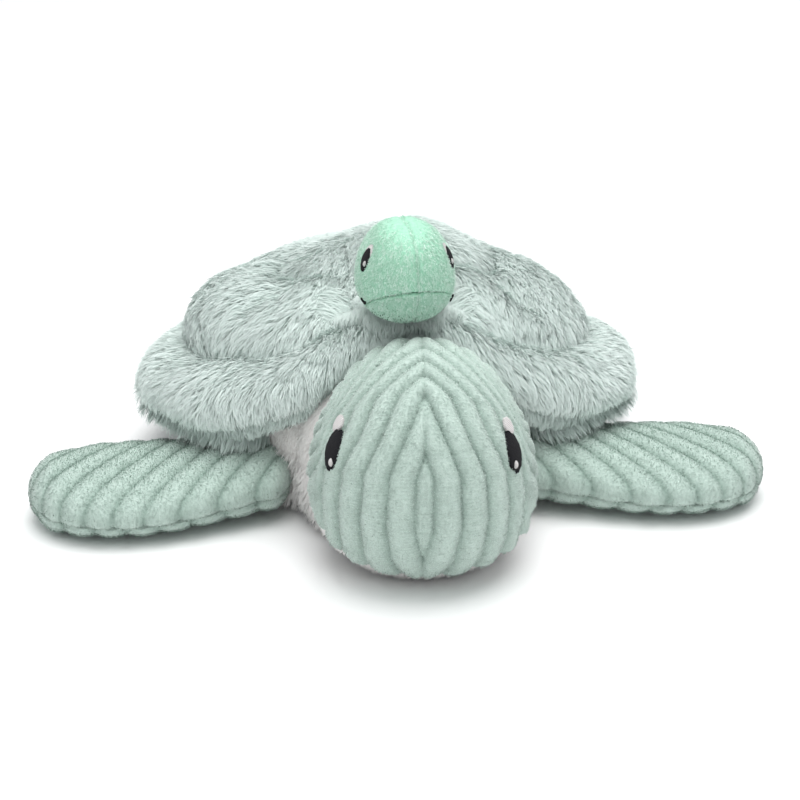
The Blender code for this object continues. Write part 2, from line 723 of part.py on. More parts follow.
def make_baby_head(parts, tools, fabrics, neck_middle):
    """Top and chin of the small head, parted at the mouth, which slopes down and back, with eyes and stitches."""
    place = baby_head_matrix()
    size = 2 * BABY_HEAD_LENGTH
    mouth = place @ Vector((0, 0, -BABY_MOUTH_DROP))
    up = place.to_3x3() @ Vector((0, math.sin(BABY_MOUTH_SLOPE), math.cos(BABY_MOUTH_SLOPE)))
    knob = as_cutter(stuffed(
        "knob_in_baby_head", lambda unit: unit * (BABY_NECK_RADIUS + TURN_GAP), 10, 20, tools))
    knob.location = neck_middle
    top = stuffed("baby_head", baby_head_form(), 14, 24, parts, fabrics["mint"])
    top.matrix_world = place
    cut(top, half_space("below_mouth", mouth + up * SEAM_GAP / 2, -up, size, tools), knob)
    chin = stuffed("baby_chin", baby_head_form(), 14, 24, parts, fabrics["mint"])
    chin.matrix_world = place
    cut(chin, half_space("above_mouth", mouth - up * SEAM_GAP / 2, up, size, tools), knob)

    skin = as_cutter(stuffed("baby_head_skin", baby_head_form(SEAT_GAP), 14, 24, tools))
    skin.matrix_world = place
    for label, side in SIDES:
        unit = direction(BABY_EYE_TURN, BABY_EYE_LIFT, side)
        eye = patch(
            "baby_eye_" + label, baby_head_form(), unit, BABY_EYE_WIDTH, BABY_EYE_HEIGHT, BABY_EYE_RAISE, 14, parts,
            fabrics["black"])
        eye.matrix_world = place @ eye.matrix_world
        cut(eye, skin)
        make_mouth_stitch("baby_mouth_" + label, side, place, parts, fabrics)


def make_mouth_stitch(name, side, place, parts, fabrics):
    """A short black thread that turns down at the corner of the mouth."""
    form = baby_head_form(SEAT_GAP + BABY_THREAD_RADIUS)
    ahead = BABY_HEAD_LENGTH / 2 * math.cos(BABY_MOUTH_TURN)
    drop = (BABY_MOUTH_DROP - ahead * math.tan(BABY_MOUTH_SLOPE)) / (BABY_HEAD_HEIGHT / 2)
    reach = BABY_THREAD_LENGTH / BABY_HEAD_LENGTH
    curve = bpy.data.curves.new(name, "CURVE")
    curve.dimensions = "3D"
    curve.bevel_depth = BABY_THREAD_RADIUS
    curve.bevel_resolution = 1
    curve.use_fill_caps = True
    spline = curve.splines.new("POLY")
    steps = 5
    spline.points.add(steps - 1)
    for i in range(steps):
        share = i / (steps - 1)
        lift = -drop + reach * (0.9 * share - 1.6 * share * (1 - share))
        unit = direction(BABY_MOUTH_TURN + reach * share, lift, side)
        spline.points[i].co = (*form(unit), 1)
    thread = bpy.data.objects.new(name, curve)
    thread.matrix_world = place
    parts.objects.link(thread)
    curve.materials.append(fabrics["black"])
    return thread


def main():
    clear_scene()
    parts = new_collection("plush turtle")
    tools = new_collection("cutters")
    fabrics = {
        "pile": fabric("sage long-pile plush", SAGE_PILE),
        "cord": fabric("sage corduroy plush", SAGE_CORD),
        "white": fabric("white short plush", WHITE_PLUSH),
        "mint": fabric("mint velour", MINT_VELOUR),
        "black": fabric("black embroidery thread", BLACK_THREAD, roughness=0.6),
        "thread": fabric("white embroidery thread", WHITE_THREAD, roughness=0.6),
        "lining": fabric("pocket lining", COTTON_LINING),
    }
    make_body(parts, tools, fabrics)
    make_head(parts, tools, fabrics)
    make_limbs(parts, tools, fabrics)
    make_baby(parts, tools, fabrics)
    bpy.context.view_layer.update()


main()
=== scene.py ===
"""The looks of the plush sea turtle: long pile, corduroy, short plush, velour and embroidery.

Metres, +Z up, the turtle faces -Y and its own left is +X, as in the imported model.
Each cover is a closed surface worked out with numpy, and its pile is a mesh of short tapered hairs.
"""

import math

import bpy
import numpy as np
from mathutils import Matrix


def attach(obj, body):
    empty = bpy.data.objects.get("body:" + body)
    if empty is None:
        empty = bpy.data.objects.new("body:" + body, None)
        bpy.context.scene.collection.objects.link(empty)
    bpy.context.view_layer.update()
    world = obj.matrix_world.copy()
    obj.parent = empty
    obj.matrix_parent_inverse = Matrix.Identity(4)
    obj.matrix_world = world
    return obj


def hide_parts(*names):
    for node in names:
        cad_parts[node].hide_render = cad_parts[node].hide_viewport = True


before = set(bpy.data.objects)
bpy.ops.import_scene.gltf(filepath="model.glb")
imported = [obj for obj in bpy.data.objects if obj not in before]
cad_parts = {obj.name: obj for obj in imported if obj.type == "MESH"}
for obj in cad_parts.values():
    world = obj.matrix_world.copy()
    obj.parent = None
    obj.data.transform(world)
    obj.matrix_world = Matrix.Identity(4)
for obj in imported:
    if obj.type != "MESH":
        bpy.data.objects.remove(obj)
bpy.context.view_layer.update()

# Sizes that the covers share with the solids under them
SEAM = 0.0003
BELLY = dict(width=0.140, front=0.083, rear=0.082, top=0.050, bulge=0.042, powers=(2.3, 3.0, 2.8))
SHELL_Y = 0.014
NECK = dict(y=-0.050, radius=0.042, middle=0.027, rise=0.040, power=2.4)
DOME = dict(width=0.166, front=0.062, rear=0.078, rise=0.0345, powers=(3.4, 2.7, 2.6))
CROWN = dict(rise=0.0150, x=0.006, y=0.004, span=0.029, length=0.046)
RIM = dict(width=0.172, front=0.066, rear=0.084, level=0.0400, lift=0.0350, span=0.047)
RIM_HALF = dict(width=0.0170, height=0.0135, front_width=0.0125, front_height=0.0085)
HEAD = dict(
    width=0.088, length=0.096, below=0.046, above=0.0445, radius=0.045, power=2.03, taper=0.14,
    x=0.0035, y=-0.092, z=0.043)
CHIN = dict(front=0.034, slope=math.radians(42))
FRONT = dict(
    root=(0.044, -0.038), length=0.1065, root_width=0.046, width=0.070, thick=0.024, lift=0.005, sweep=-3)
REAR = dict(
    root=(0.038, 0.064), length=0.080, root_width=0.028, width=0.044, thick=0.018, lift=0.003, sweep=50)
TAIL = dict(
    root=(0.0, 0.084), length=0.048, root_width=0.016, width=0.018, thick=0.013, lift=0.002, sweep=90)
POCKET = dict(half=0.0283, front=0.031, rear=0.0475, tall=0.009, power=2.5)
SMALL = dict(y=-0.020, z=0.0775, pitch=math.radians(20), width=0.041, length=0.062, tall=0.0090, power=2.2)
SMALL_NECK = dict(reach=0.0365, lift=0.0025, radius=0.0105)
SMALL_HEAD = dict(
    width=0.038, length=0.044, height=0.0385, power=2.3, y=-0.062, z=0.1088, turn=math.radians(8))
SMALL_MOUTH = dict(drop=0.0139, slope=math.radians(28))
SMALL_FRONT = dict(length=0.027, width=0.0075, thick=0.006, y=0.004)
SMALL_REAR = dict(length=0.024, width=0.010, thick=0.006)

# What only the looks have: the face and its cords, and how the stuffing lies
FACE = dict(width=0.086, turn=math.radians(5.5))
CORD_RELIEF = dict(power=0.55, head=0.0028, hem=0.0040, limb=0.0017)
HEAD_CORD = dict(pitch=0.0113, radius=0.0445)
LIMB_CORD = dict(pitch=0.0105, slant=0.60)
KNIT = dict(row=0.0014, radius=0.046)
HEAD_LEVELS = (-1, -0.83, -0.74, -0.6, -0.46, -0.28, -0.09, 0.09, 0.28, 0.46, 0.65, 0.8, 1.0)
HEAD_SHARES = (1.12, 1.17, 1.20, 1.15, 1.09, 1.045, 1.01, 0.975, 0.95, 0.905, 0.895, 0.89, 0.89)
CORD_DEGREES = (-90, -60, -36, -12, 13, 25.7, 55.8, 67.2, 78.5, 92, 110, 140, 180)
CORD_COUNTS = (2.3, 1.65, 1.0, 0.68, 0.67, 1.0, 2.0, 3.0, 4.0, 5.1, 5.6, 5.8, 5.9)
SMALL_LEVELS = (-1, -0.7, -0.5, -0.3, -0.1, 0.1, 0.3, 0.5, 0.7, 1.0)
SMALL_SHARES = (1.04, 1.02, 1.01, 1.01, 0.985, 0.945, 0.92, 0.89, 0.88, 0.88)
DOME_PLACES = (-0.083, -0.062, -0.040, -0.020, 0, 0.020, 0.040, 0.055, 0.070, 0.083)
DOME_SHARES = (0.82, 0.80, 0.87, 0.93, 1.0, 1.02, 1.07, 1.06, 1.02, 0.98)
QUILTING = dict(lines=6, ring=0.52, wide=0.0060, deep=0.0056)

# Embroidery: turn from the nose and lift, in degrees, then width, height and how far it stands out
EYES = dict(
    eye=(57.5, 16.3, 0.0089, 0.0164, 0.0020), eye_white=(63.5, 27.5, 0.0060, 0.0068, 0.0015),
    eye_glint=(54, 11.3, 0.0018, 0.0034, 0.0025))
SMALL_EYES = dict(
    baby_eye=(69.5, 17.3, 0.0051, 0.0100, 0.0012), baby_eye_glint=(65.8, 12.5, 0.0011, 0.0024, 0.0016),
    baby_eye_white=(69.5, 22.5, 0.0052, 0.0086, 0.0008))
EYE_NODES = ("eye", "eye_white", "baby_eye")
EYE_TILT, SMALL_EYE_TILT = -0.20, 0.14
EYE_SHIFT = 6.2

# Colours, linear
SAGE_DEEP, SAGE_TIP = (0.50, 0.61, 0.565), (0.88, 0.97, 0.935)
CORD_DEEP, CORD_TOP = (0.24, 0.35, 0.295), (0.60, 0.73, 0.665)
WHITE_DEEP, WHITE_TIP = (0.84, 0.82, 0.80), (0.96, 0.95, 0.93)
MINT_DEEP, MINT_TIP = (0.26, 0.62, 0.42), (0.76, 0.96, 0.85)

# How wide the hairs of each pile are and how they lie
LONG_PILE = dict(width=0.00030, lean=0.84, tuft=0.0075, pull=0.38, stray=0.12)
EDGE_PILE = dict(width=0.00032, lean=0.94, tuft=0.006, pull=0.3, stray=0.10)
LIP_PILE = dict(width=0.00032, lean=0.85, tuft=0.006, pull=0.3, stray=0.14)
FRINGE = dict(width=0.00036, lean=0.9, tuft=0.006, pull=0.4, stray=0.10)
SHORT_PLUSH = dict(width=0.00036, lean=0.75, tuft=0.0035, pull=0.3, stray=0.14)
CORD_FUZZ = dict(width=0.00022, lean=0.75, tuft=0.0016, pull=0.25, stray=0.14)
VELOUR = dict(width=0.00026, lean=0.70, tuft=0.0011, pull=0.3, stray=0.18, mottle=0.7)
SMALL_PILE = dict(width=0.00042, lean=0.75, tuft=0.003, pull=0.3, stray=0.22)

SIDES = (("left", 1), ("right", -1))


class Value:
    """A node's output. Sums with other outputs or numbers add Math nodes."""

    def __init__(self, cloth, socket):
        self.cloth, self.socket = cloth, socket

    def sum(self, operation, *terms):
        return self.cloth.add("ShaderNodeMath", {"operation": operation}, dict(enumerate(terms)))

    def __add__(self, other):
        return self.sum("ADD", self, other)

    def __sub__(self, other):
        return self.sum("SUBTRACT", self, other)

    def __rsub__(self, other):
        return self.sum("SUBTRACT", other, self)

    def __mul__(self, other):
        return self.sum("MULTIPLY", self, other)

    def __pow__(self, other):
        return self.sum("POWER", self, other)

    __radd__ = __add__
    __rmul__ = __mul__

    def kept(self):
        return self.sum("MINIMUM", self.sum("MAXIMUM", self, 0.0), 1.0)


class Cloth:
    """A material with one Principled shader, and a slot name that is not used."""

    def __init__(self, name, slot, roughness, sheen=0.0):
        self.slot = slot
        self.material = bpy.data.materials.new(name)
        self.material.use_nodes = True
        self.tree = self.material.node_tree
        self.shader = self.tree.nodes["Principled BSDF"]
        self.shader.inputs["Metallic"].default_value = 0
        self.shader.inputs["Roughness"].default_value = roughness
        self.shader.inputs["Specular IOR Level"].default_value = 0.25
        self.shader.inputs["Sheen Weight"].default_value = sheen
        self.shader.inputs["Sheen Roughness"].default_value = 0.6

    def add(self, kind, settings=None, sockets=None, output=0):
        """Adds a node: its settings first, then the values or links of its sockets."""
        node = self.tree.nodes.new(kind)
        for key, value in (settings or {}).items():
            setattr(node, key, value)
        for key, value in (sockets or {}).items():
            self.feed(node.inputs[key], value)
        return Value(self, node.outputs[output])

    def feed(self, socket, value):
        if isinstance(value, Value):
            self.tree.links.new(value.socket, socket)
        else:
            socket.default_value = value

    def places(self):
        return self.add("ShaderNodeTexCoord", output="Object")

    def attribute(self, name):
        return self.add("ShaderNodeAttribute", {"attribute_name": name}, output="Fac")

    def noise(self, vector, scale, detail=2.0, roughness=0.5):
        return self.add(
            "ShaderNodeTexNoise", None,
            {"Vector": vector, "Scale": scale, "Detail": detail, "Roughness": roughness})

    def mixed(self, share, first, second):
        """Two colours mixed by share; each may be an output or three numbers."""
        first, second = [c if isinstance(c, Value) else (*c, 1) for c in (first, second)]
        return self.add("ShaderNodeMix", {"data_type": "RGBA"}, {0: share, 6: first, 7: second}, output=2)

    def colour(self, value):
        self.feed(self.shader.inputs["Base Color"], value if isinstance(value, Value) else (*value, 1))

    def bump(self, height, distance):
        normal = self.add("ShaderNodeBump", None, {"Height": height, "Distance": distance, "Strength": 1.0})
        self.feed(self.shader.inputs["Normal"], normal)


# Surfaces

def directions(rings, sides, lengthwise=False):
    """Unit directions in rings round an axis, one at each pole, and the triangles between them.

    With t from 0 to pi along the axis and s round it, a direction is (sin t cos s, sin t sin s, cos t).
    Lengthwise puts the axis along X.
    """
    t = np.linspace(0, np.pi, rings + 1)[1:-1, None]
    s = np.arange(sides)[None] * 2 * np.pi / sides
    ring = np.stack([np.sin(t) * np.cos(s), np.sin(t) * np.sin(s), np.cos(t) + 0 * s], -1).reshape(-1, 3)
    unit = np.concatenate([[[0, 0, 1.0]], ring, [[0, 0, -1.0]]])
    return unit[:, [2, 0, 1]] if lengthwise else unit, capped_rings(rings, sides)


def capped_rings(rings, sides):
    """The triangles of points in rows from one pole to the other: a pole, rings less 1 rows, a pole."""
    row = 1 + np.arange(rings - 2)[:, None] * sides
    k = np.arange(sides)
    here, after = k[None], (k[None] + 1) % sides
    a, b, c, d = row + here, row + after, row + sides + here, row + sides + after
    last, low = 1 + (rings - 1) * sides, 1 + (rings - 2) * sides
    top = np.stack([0 * k, 1 + k, 1 + (k + 1) % sides], -1)
    bottom = np.stack([0 * k + last, low + (k + 1) % sides, low + k], -1)
    sheet = [np.stack(corners, -1).reshape(-1, 3) for corners in ((a, c, b), (b, c, d))]
    return np.concatenate([*sheet, top, bottom])


def ring_grid(long, short):
    """The turn round a ring and round its section, on a closed grid, and the grid's triangles."""
    i, j = np.meshgrid(np.arange(long), np.arange(short), indexing="ij")
    a, b = i * short + j, (i + 1) % long * short + j
    c, d = i * short + (j + 1) % short, (i + 1) % long * short + (j + 1) % short
    faces = np.concatenate([np.stack(corners, -1).reshape(-1, 3) for corners in ((a, b, c), (c, b, d))])
    return (i * 2 * np.pi / long).ravel(), (j * 2 * np.pi / short).ravel(), faces


def turned_out(points, faces):
    """The faces of a closed surface with their fronts outwards, told by the sign of the volume inside."""
    a, b, c = (points[faces[:, i]] for i in range(3))
    volume = np.einsum("ij,ij->i", a, np.cross(b, c)).sum()
    return faces if volume > 0 else faces[:, ::-1]


def normals_of(points, faces):
    """Each point's normal: the sum of its faces' normals by area, made one long."""
    a, b, c = (points[faces[:, i]] for i in range(3))
    flat = np.cross(b - a, c - a)
    total = np.stack([
        np.bincount(faces.ravel(), np.repeat(flat[:, k], 3), len(points)) for k in range(3)], -1)
    return unit_of(total)


def unit_of(vectors):
    """Each vector over its own length."""
    return vectors / np.maximum(np.linalg.norm(vectors, axis=-1, keepdims=True), 1e-12)


def smoothstep(low, high, values):
    """From 0 at low to 1 at high: the share squared times 3 less twice the share."""
    share = np.clip((values - low) / (high - low), 0, 1)
    return share * share * (3 - 2 * share)


def rounded(unit, half_x, front, rear, below, above, power):
    """A superellipsoid: reach in plan and height are powers 2 / power of a direction's two parts."""
    x, y, z = unit.T
    around = np.hypot(x, y)
    level = np.sign(z) * np.abs(z) ** (2 / power)
    spread = around ** (2 / power) / np.maximum(around, 1e-9)
    long, tall = np.where(y < 0, front, rear), np.where(z > 0, above, below)
    return np.stack([half_x * spread * x, long * spread * y, tall * level], -1)


def turned_power(unit, powers):
    """A power that goes from the first at the front to the second at the sides and the third at the rear."""
    front, side, rear = powers
    lengthways = unit[:, 1] ** 2 / np.maximum(unit[:, 0] ** 2 + unit[:, 1] ** 2, 1e-12)
    return side + (np.where(unit[:, 1] < 0, front, rear) - side) * lengthways


def lattice_random(cells, seed):
    """A repeatable random triple for each cell of a lattice: the fraction of a large multiple of a sine."""
    keys = np.stack([cells @ np.array(row) for row in (
        (127.1, 311.7, 74.7), (269.5, 183.3, 246.1), (113.5, 271.9, 124.6))], -1)
    return np.modf(np.abs(np.sin(keys + seed) * 43758.5453))[0]


def nearest_spots(points, cell, way):
    """The nearest of spots strewn one to each cell of a lattice, how near it is, and its own random number.

    Distance along the way counts half, so that each spot's neighbourhood is long and narrow.
    """
    base = np.floor(points / cell)
    best = np.full(len(points), np.inf)
    spot, number = np.zeros_like(points), np.zeros(len(points))
    for step in np.stack(np.meshgrid(*[(-1, 0, 1)] * 3), -1).reshape(-1, 3):
        cells = base + step
        random = lattice_random(cells, 1.0)
        apart = (cells + random) * cell - points
        away = (apart ** 2).sum(-1) - 0.75 * (apart * way).sum(-1) ** 2
        nearer = away < best
        best[nearer], number[nearer] = away[nearer], random[nearer, 0]
        spot[nearer] = (points + apart)[nearer]
    return spot, np.sqrt(best) / cell, number


def soft_noise(points, cell, seed=1.0):
    """Smooth random values from -1 to 1: lattice values joined by smoothstep along each axis."""
    base = np.floor(points / cell)
    part = points / cell - base
    part = part * part * (3 - 2 * part)
    total = np.zeros(len(points))
    for corner in np.stack(np.meshgrid((0, 1), (0, 1), (0, 1)), -1).reshape(-1, 3):
        weight = np.prod(np.where(corner == 1, part, 1 - part), -1)
        total += weight * lattice_random(base + corner, seed)[:, 0]
    return 2 * total - 1


def ruffled(way, normal, points, angle=0.9, cell=0.026, seed=7.0):
    """A combed direction laid in the surface and turned about its normal by smooth noise."""
    flat = unit_of(way - normal * (way * normal).sum(-1, keepdims=True))
    turn = (angle * soft_noise(points, cell, seed))[:, None]
    return flat * np.cos(turn) + np.cross(normal, flat) * np.sin(turn)


def locks(points, faces, comb, share, thick=0.0026, cell=0.0085):
    """Thickens a surface by its pile, felted into locks that lie over each other along the comb.

    The pile's height is its thickness times 0.5 plus half of a lock's own: 1 less the square of the
    distance from the lock's middle, plus a rise towards its tip.
    """
    normal = normals_of(points, faces)
    way = comb(points, normal)
    heart, near, number = nearest_spots(points, cell, way)
    ahead = ((points - heart) * way).sum(-1) / cell
    lock = (1 - 1.3 * near ** 2 + 0.35 * ahead + 0.3 * (number - 0.5)).clip(0, 1)
    return points + normal * (thick * share * (0.5 + 0.5 * lock))[:, None]


def belly_points(unit):
    """The belly bag: a superellipsoid held between the ground and the underside of the shell."""
    bulge, power = BELLY["bulge"], turned_power(unit, BELLY["powers"])
    found = rounded(unit, BELLY["width"] / 2, BELLY["front"], BELLY["rear"], bulge, bulge, power)
    found += (0, SHELL_Y, BELLY["top"] / 2)
    found[:, 2] = found[:, 2].clip(0, BELLY["top"])
    return found


def neck_points(unit):
    """The chest and neck: a ball on the ground round the head's turning axis."""
    r, rise = NECK["radius"], NECK["rise"]
    found = rounded(unit, r, r, r, rise, rise, NECK["power"]) + (0, NECK["y"], NECK["middle"])
    found[:, 2] = found[:, 2].clip(0, None)
    return found


def quilting(x, y):
    """How far the stitched lines pull the dome in: a ring round the crown, and lines out from it."""
    ring_reach, wide = QUILTING["ring"], QUILTING["wide"]
    reach = np.hypot(x / (DOME["width"] / 2), y / np.where(y > 0, DOME["rear"], DOME["front"]))
    mean = (DOME["width"] / 2 + DOME["rear"]) / 2
    ring = np.exp(-np.abs((reach - ring_reach) * mean / wide) ** 1.4)
    ring *= 1 - 0.7 * smoothstep(-0.02, 0.03, y)
    step = 2 * np.pi / QUILTING["lines"]
    off = (np.arctan2(x, y) + step / 2) % step - step / 2
    line = np.exp(-np.abs(np.sin(off) * reach * mean / wide) ** 1.4) * (reach > ring_reach)
    return np.maximum(ring, line) * np.clip(1 - reach ** 6, 0, 1)


def dome_points(unit):
    """The dome: half a superellipsoid on the belly, with a low crown, less the quilting.

    Behind its middle a table by width makes it lower on one side, as its stuffing lies in the photograph.
    """
    side = np.clip(unit[:, 0] / np.maximum(np.hypot(unit[:, 0], unit[:, 1]), 1e-9) * 1.4, -1, 1)
    power = turned_power(unit, DOME["powers"]) - 0.5 * side
    found = rounded(unit, DOME["width"] / 2, DOME["front"], DOME["rear"], 0.0, DOME["rise"], power)
    x, y, z = found.T
    up = np.clip(z / (DOME["rise"] / 2), 0, 1)
    z *= 1 + (np.interp(x, DOME_PLACES, DOME_SHARES) - 1) * smoothstep(-0.03, 0.03, y)
    away = np.hypot((x - CROWN["x"]) / CROWN["span"], (y + SHELL_Y - CROWN["y"]) / CROWN["length"])
    z += np.where(z > 0, CROWN["rise"] * np.exp(-away ** 2), 0)
    beside = smoothstep(0.004, 0.016, beyond_pocket(found + (0, SHELL_Y, BELLY["top"])))
    z += up * (0.0012 - QUILTING["deep"] * quilting(x, y) * beside)
    z += up * (0.0016 * soft_noise(found, 0.022, 3.0) + 0.0010 * soft_noise(found, 0.012, 5.0))
    return found + (0, SHELL_Y, BELLY["top"] + SEAM)


def rim_section(turn):
    """Where the middle of the rim lies at a turn, which way is out, and its half width and height there."""
    reach = np.where(np.cos(turn) > 0, RIM["front"], RIM["rear"])
    x, y = RIM["width"] / 2 * np.sin(turn), SHELL_Y - reach * np.cos(turn)
    front = np.exp(-(x / RIM["span"]) ** 2) * np.clip(2 * np.cos(turn), 0, 1)
    middle = np.stack([x, y, RIM["level"] - 0.0020 * (1 - front) + RIM["lift"] * front], -1)
    out = unit_of(np.stack([reach * np.sin(turn), -RIM["width"] / 2 * np.cos(turn), 0 * x], -1))
    behind = smoothstep(0.005, 0.045, y)
    middle[:, 2] -= 0.0035 * behind
    wide = RIM_HALF["width"] + (RIM_HALF["front_width"] - RIM_HALF["width"]) * front - 0.0030 * behind
    high = RIM_HALF["height"] + (RIM_HALF["front_height"] - RIM_HALF["height"]) * front - 0.0015 * behind
    return middle, out, wide, high, front


def rim_points(turn, around):
    """The rim roll: an ellipse carried along the shell's edge, with a crease low on its outer face."""
    middle, out, wide, high, front = rim_section(turn)
    off = (around + 0.45 + np.pi) % (2 * np.pi) - np.pi
    crease = 1 - 0.30 * (1 - 0.5 * front) * np.exp(-(off / 0.24) ** 2)
    lumps = 1 + 0.05 * np.sin(turn * 7 + 1.3) * np.sin(around + 0.4) + 0.04 * np.sin(turn * 12)
    size = crease * lumps
    side = out * (wide * np.cos(around) * size)[:, None]
    return middle + side + np.stack([0 * turn, 0 * turn, high * np.sin(around) * size], -1)


def about_rim(points, grow=0.0):
    """How far out and up points lie from the rim's middle, as shares of its half width and height grown."""
    reach = np.where(points[:, 1] < SHELL_Y, RIM["front"], RIM["rear"])
    turn = np.arctan2(points[:, 0] / (RIM["width"] / 2), -(points[:, 1] - SHELL_Y) / reach)
    middle, out, wide, high, _ = rim_section(turn)
    return ((points - middle) * out).sum(-1) / (wide + grow), (points - middle)[:, 2] / (high + grow)


def in_rim(points, grow):
    """Which points lie inside the rim roll grown by a width."""
    out, up = about_rim(points, grow)
    return out ** 2 + up ** 2 < 1


def rim_painted_shade(points, _):
    """Painted shade: darker where the rim meets the dome, under the crease low on its outer face, and on its
    underside.
    """
    out, up = about_rim(points)
    around = np.arctan2(up, out)
    valley, below = smoothstep(1.7, 2.5, around), smoothstep(0.25, 0.95, -around)
    return 0.06 - 0.40 * valley - 0.25 * np.exp(-((around + 0.62) / 0.17) ** 2) - 0.30 * below


def in_rounded(points, half_x, front, rear, below, above, power):
    """Which points lie inside a superellipsoid about the origin."""
    x, y, z = points.T
    reach = np.hypot(x / half_x, y / np.where(y < 0, front, rear))
    return reach ** power + np.abs(z / np.where(z > 0, above, below)) ** power < 1


def beyond_head(points):
    """About how far points lie outside the head: its superellipsoid's reach less 1, times its radius."""
    x, y, z = (points - (HEAD["x"], HEAD["y"], HEAD["z"])).T
    x = x / (1 - HEAD["taper"] * np.clip(z / HEAD["above"], -1, 1))
    tall = np.where(z > 0, HEAD["above"], HEAD["below"])
    reach = np.sqrt((x / HEAD["width"] * 2) ** 2 + (y / HEAD["length"] * 2) ** 2 + (z / tall) ** 2)
    return (reach - 1) * HEAD["radius"]


def turn_z(points, angle):
    """Points turned about +Z by an angle, from +X to +Y."""
    c, s = math.cos(angle), math.sin(angle)
    return points @ np.array([[c, s, 0], [-s, c, 0], [0, 0, 1]])


def pitch_x(points, angle):
    """Points turned about +X by an angle, from +Y to +Z."""
    c, s = math.cos(angle), math.sin(angle)
    return points @ np.array([[1, 0, 0], [0, c, s], [0, -s, c]])


def from_small(points):
    """From the small turtle's own frame to the shell's: pitched so that its -Y points up and out."""
    return pitch_x(points, -SMALL["pitch"]) + (0, SMALL["y"], SMALL["z"])


def to_small(points):
    """The way back from the shell's frame to the small turtle's own."""
    return pitch_x(points - (0, SMALL["y"], SMALL["z"]), SMALL["pitch"])


def from_small_head(points):
    """From the small head's own frame to the shell's: turned about +Z, then moved."""
    return turn_z(points, SMALL_HEAD["turn"]) + (0, SMALL_HEAD["y"], SMALL_HEAD["z"])


def to_small_head(points):
    """The way back from the shell's frame to the small head's own."""
    return turn_z(points - (0, SMALL_HEAD["y"], SMALL_HEAD["z"]), -SMALL_HEAD["turn"])


def pocket_sizes(grow=0.0):
    """The half width, front, rear and half height of the small turtle's room, grown by a width."""
    return [POCKET[key] + grow for key in ("half", "front", "rear", "tall")]


def small_head_sizes(grow=0.0):
    """The half width, front, rear and half height of the small head, grown by a width."""
    half = SMALL_HEAD["length"] / 2 + grow
    return SMALL_HEAD["width"] / 2 + grow, half, half, SMALL_HEAD["height"] / 2 + grow


def in_pocket(points, grow):
    """Which points lie in the room of the small turtle's body or neck."""
    local = to_small(points)
    *plan, tall = pocket_sizes(grow)
    neck = np.linalg.norm(local - (0, -SMALL_NECK["reach"], SMALL_NECK["lift"]), axis=-1)
    return in_rounded(local, *plan, tall, tall, POCKET["power"]) | (neck < SMALL_NECK["radius"] + grow)


def in_small_head(points, grow):
    """Which points lie in the small head grown by a width."""
    *plan, tall = small_head_sizes(grow)
    return in_rounded(to_small_head(points), *plan, tall, tall, SMALL_HEAD["power"])


def beyond_pocket(points):
    """About how far points lie outside the pocket or the small head, along lines to their middles."""
    gaps = []
    for spots, sizes, power in (
            (to_small(points), pocket_sizes(), POCKET["power"]),
            (to_small_head(points), small_head_sizes(), SMALL_HEAD["power"])):
        x, y, z = spots.T
        reach = np.hypot(x / sizes[0], y / np.where(y < 0, sizes[1], sizes[2]))
        reach = (reach ** power + np.abs(z / sizes[3]) ** power) ** (1 / power)
        gaps.append(np.linalg.norm(spots, axis=-1) * (1 - 1 / np.maximum(reach, 1e-6)))
    return np.minimum(*gaps)


def rib(phase):
    """A cord's height, 0 in the groove and 1 at the top: a power of a sine's size."""
    return np.abs(np.sin(np.pi * phase)) ** CORD_RELIEF["power"]


def head_points(unit, cloth=True, face=True):
    """The head egg with its middle seam and cords.

    A cord's number is the arc from the middle seam over the cords' pitch, plus a number that grows up
    and back along the seam, which bends the cords to points on it. On the sides of the head the cords
    run straight, from the brow down and back. The head narrows towards its crown: the chin evenly, and
    the face by a table, with full cheeks.
    """
    wide = FACE["width"] if face else HEAD["width"]
    found = rounded(
        unit, wide / 2, HEAD["length"] / 2, HEAD["length"] / 2, HEAD["below"], HEAD["above"], HEAD["power"])
    level = unit[:, 2]
    found[:, 0] *= np.interp(level, HEAD_LEVELS, HEAD_SHARES) if face else 1 - HEAD["taper"] * level
    turned = turn_z(unit, FACE["turn"])
    rise = np.degrees(np.arctan2(turned[:, 2], -turned[:, 1]))
    arc = np.abs(np.arcsin(turned[:, 0].clip(-1, 1))) * HEAD_CORD["radius"]
    phase = arc / HEAD_CORD["pitch"] + np.interp(rise, CORD_DEGREES, CORD_COUNTS)
    straight = 7.1 + 4.07 * turned[:, 1] + 4.5 * turned[:, 2]
    phase += (straight - phase) * smoothstep(0.87, 0.97, np.abs(turned[:, 0]))
    if cloth:
        relief = CORD_RELIEF["head"] * (rib(phase) - 0.80) - 0.0009 * np.exp(-(arc / 0.0010) ** 2)
        hem = smoothstep(-48, -78, rise) * smoothstep(0.10, 0.40, -unit[:, 1])
        found += unit * (relief + hem * CORD_RELIEF["hem"] * (rib(phase) - 0.55))[:, None]
    found += (HEAD["x"], HEAD["y"], HEAD["z"])
    found[:, 2] = found[:, 2].clip(0, None)
    return found, phase, np.radians(rise) * KNIT["radius"]


def knit(spots, _):
    """Rows of the knit across the cords of the head."""
    rise = np.arctan2(spots[:, 2] - HEAD["z"], HEAD["y"] - spots[:, 1])
    rows = rise * KNIT["radius"] / KNIT["row"]
    return 0.30 * np.sin(rows * 2 * np.pi + 2.0 * soft_noise(spots, 0.005))


def kept_on_one_side(points, spot, normal, middle):
    """Points past a plane are drawn towards a middle point until they lie on it, which leaves a flat cap."""
    past = (points - spot) @ normal
    reach = (points - middle) @ normal
    share = np.where(past > 0, 1 - past / np.where(past > 0, reach, 1), 1)
    return middle + (points - middle) * share[:, None]


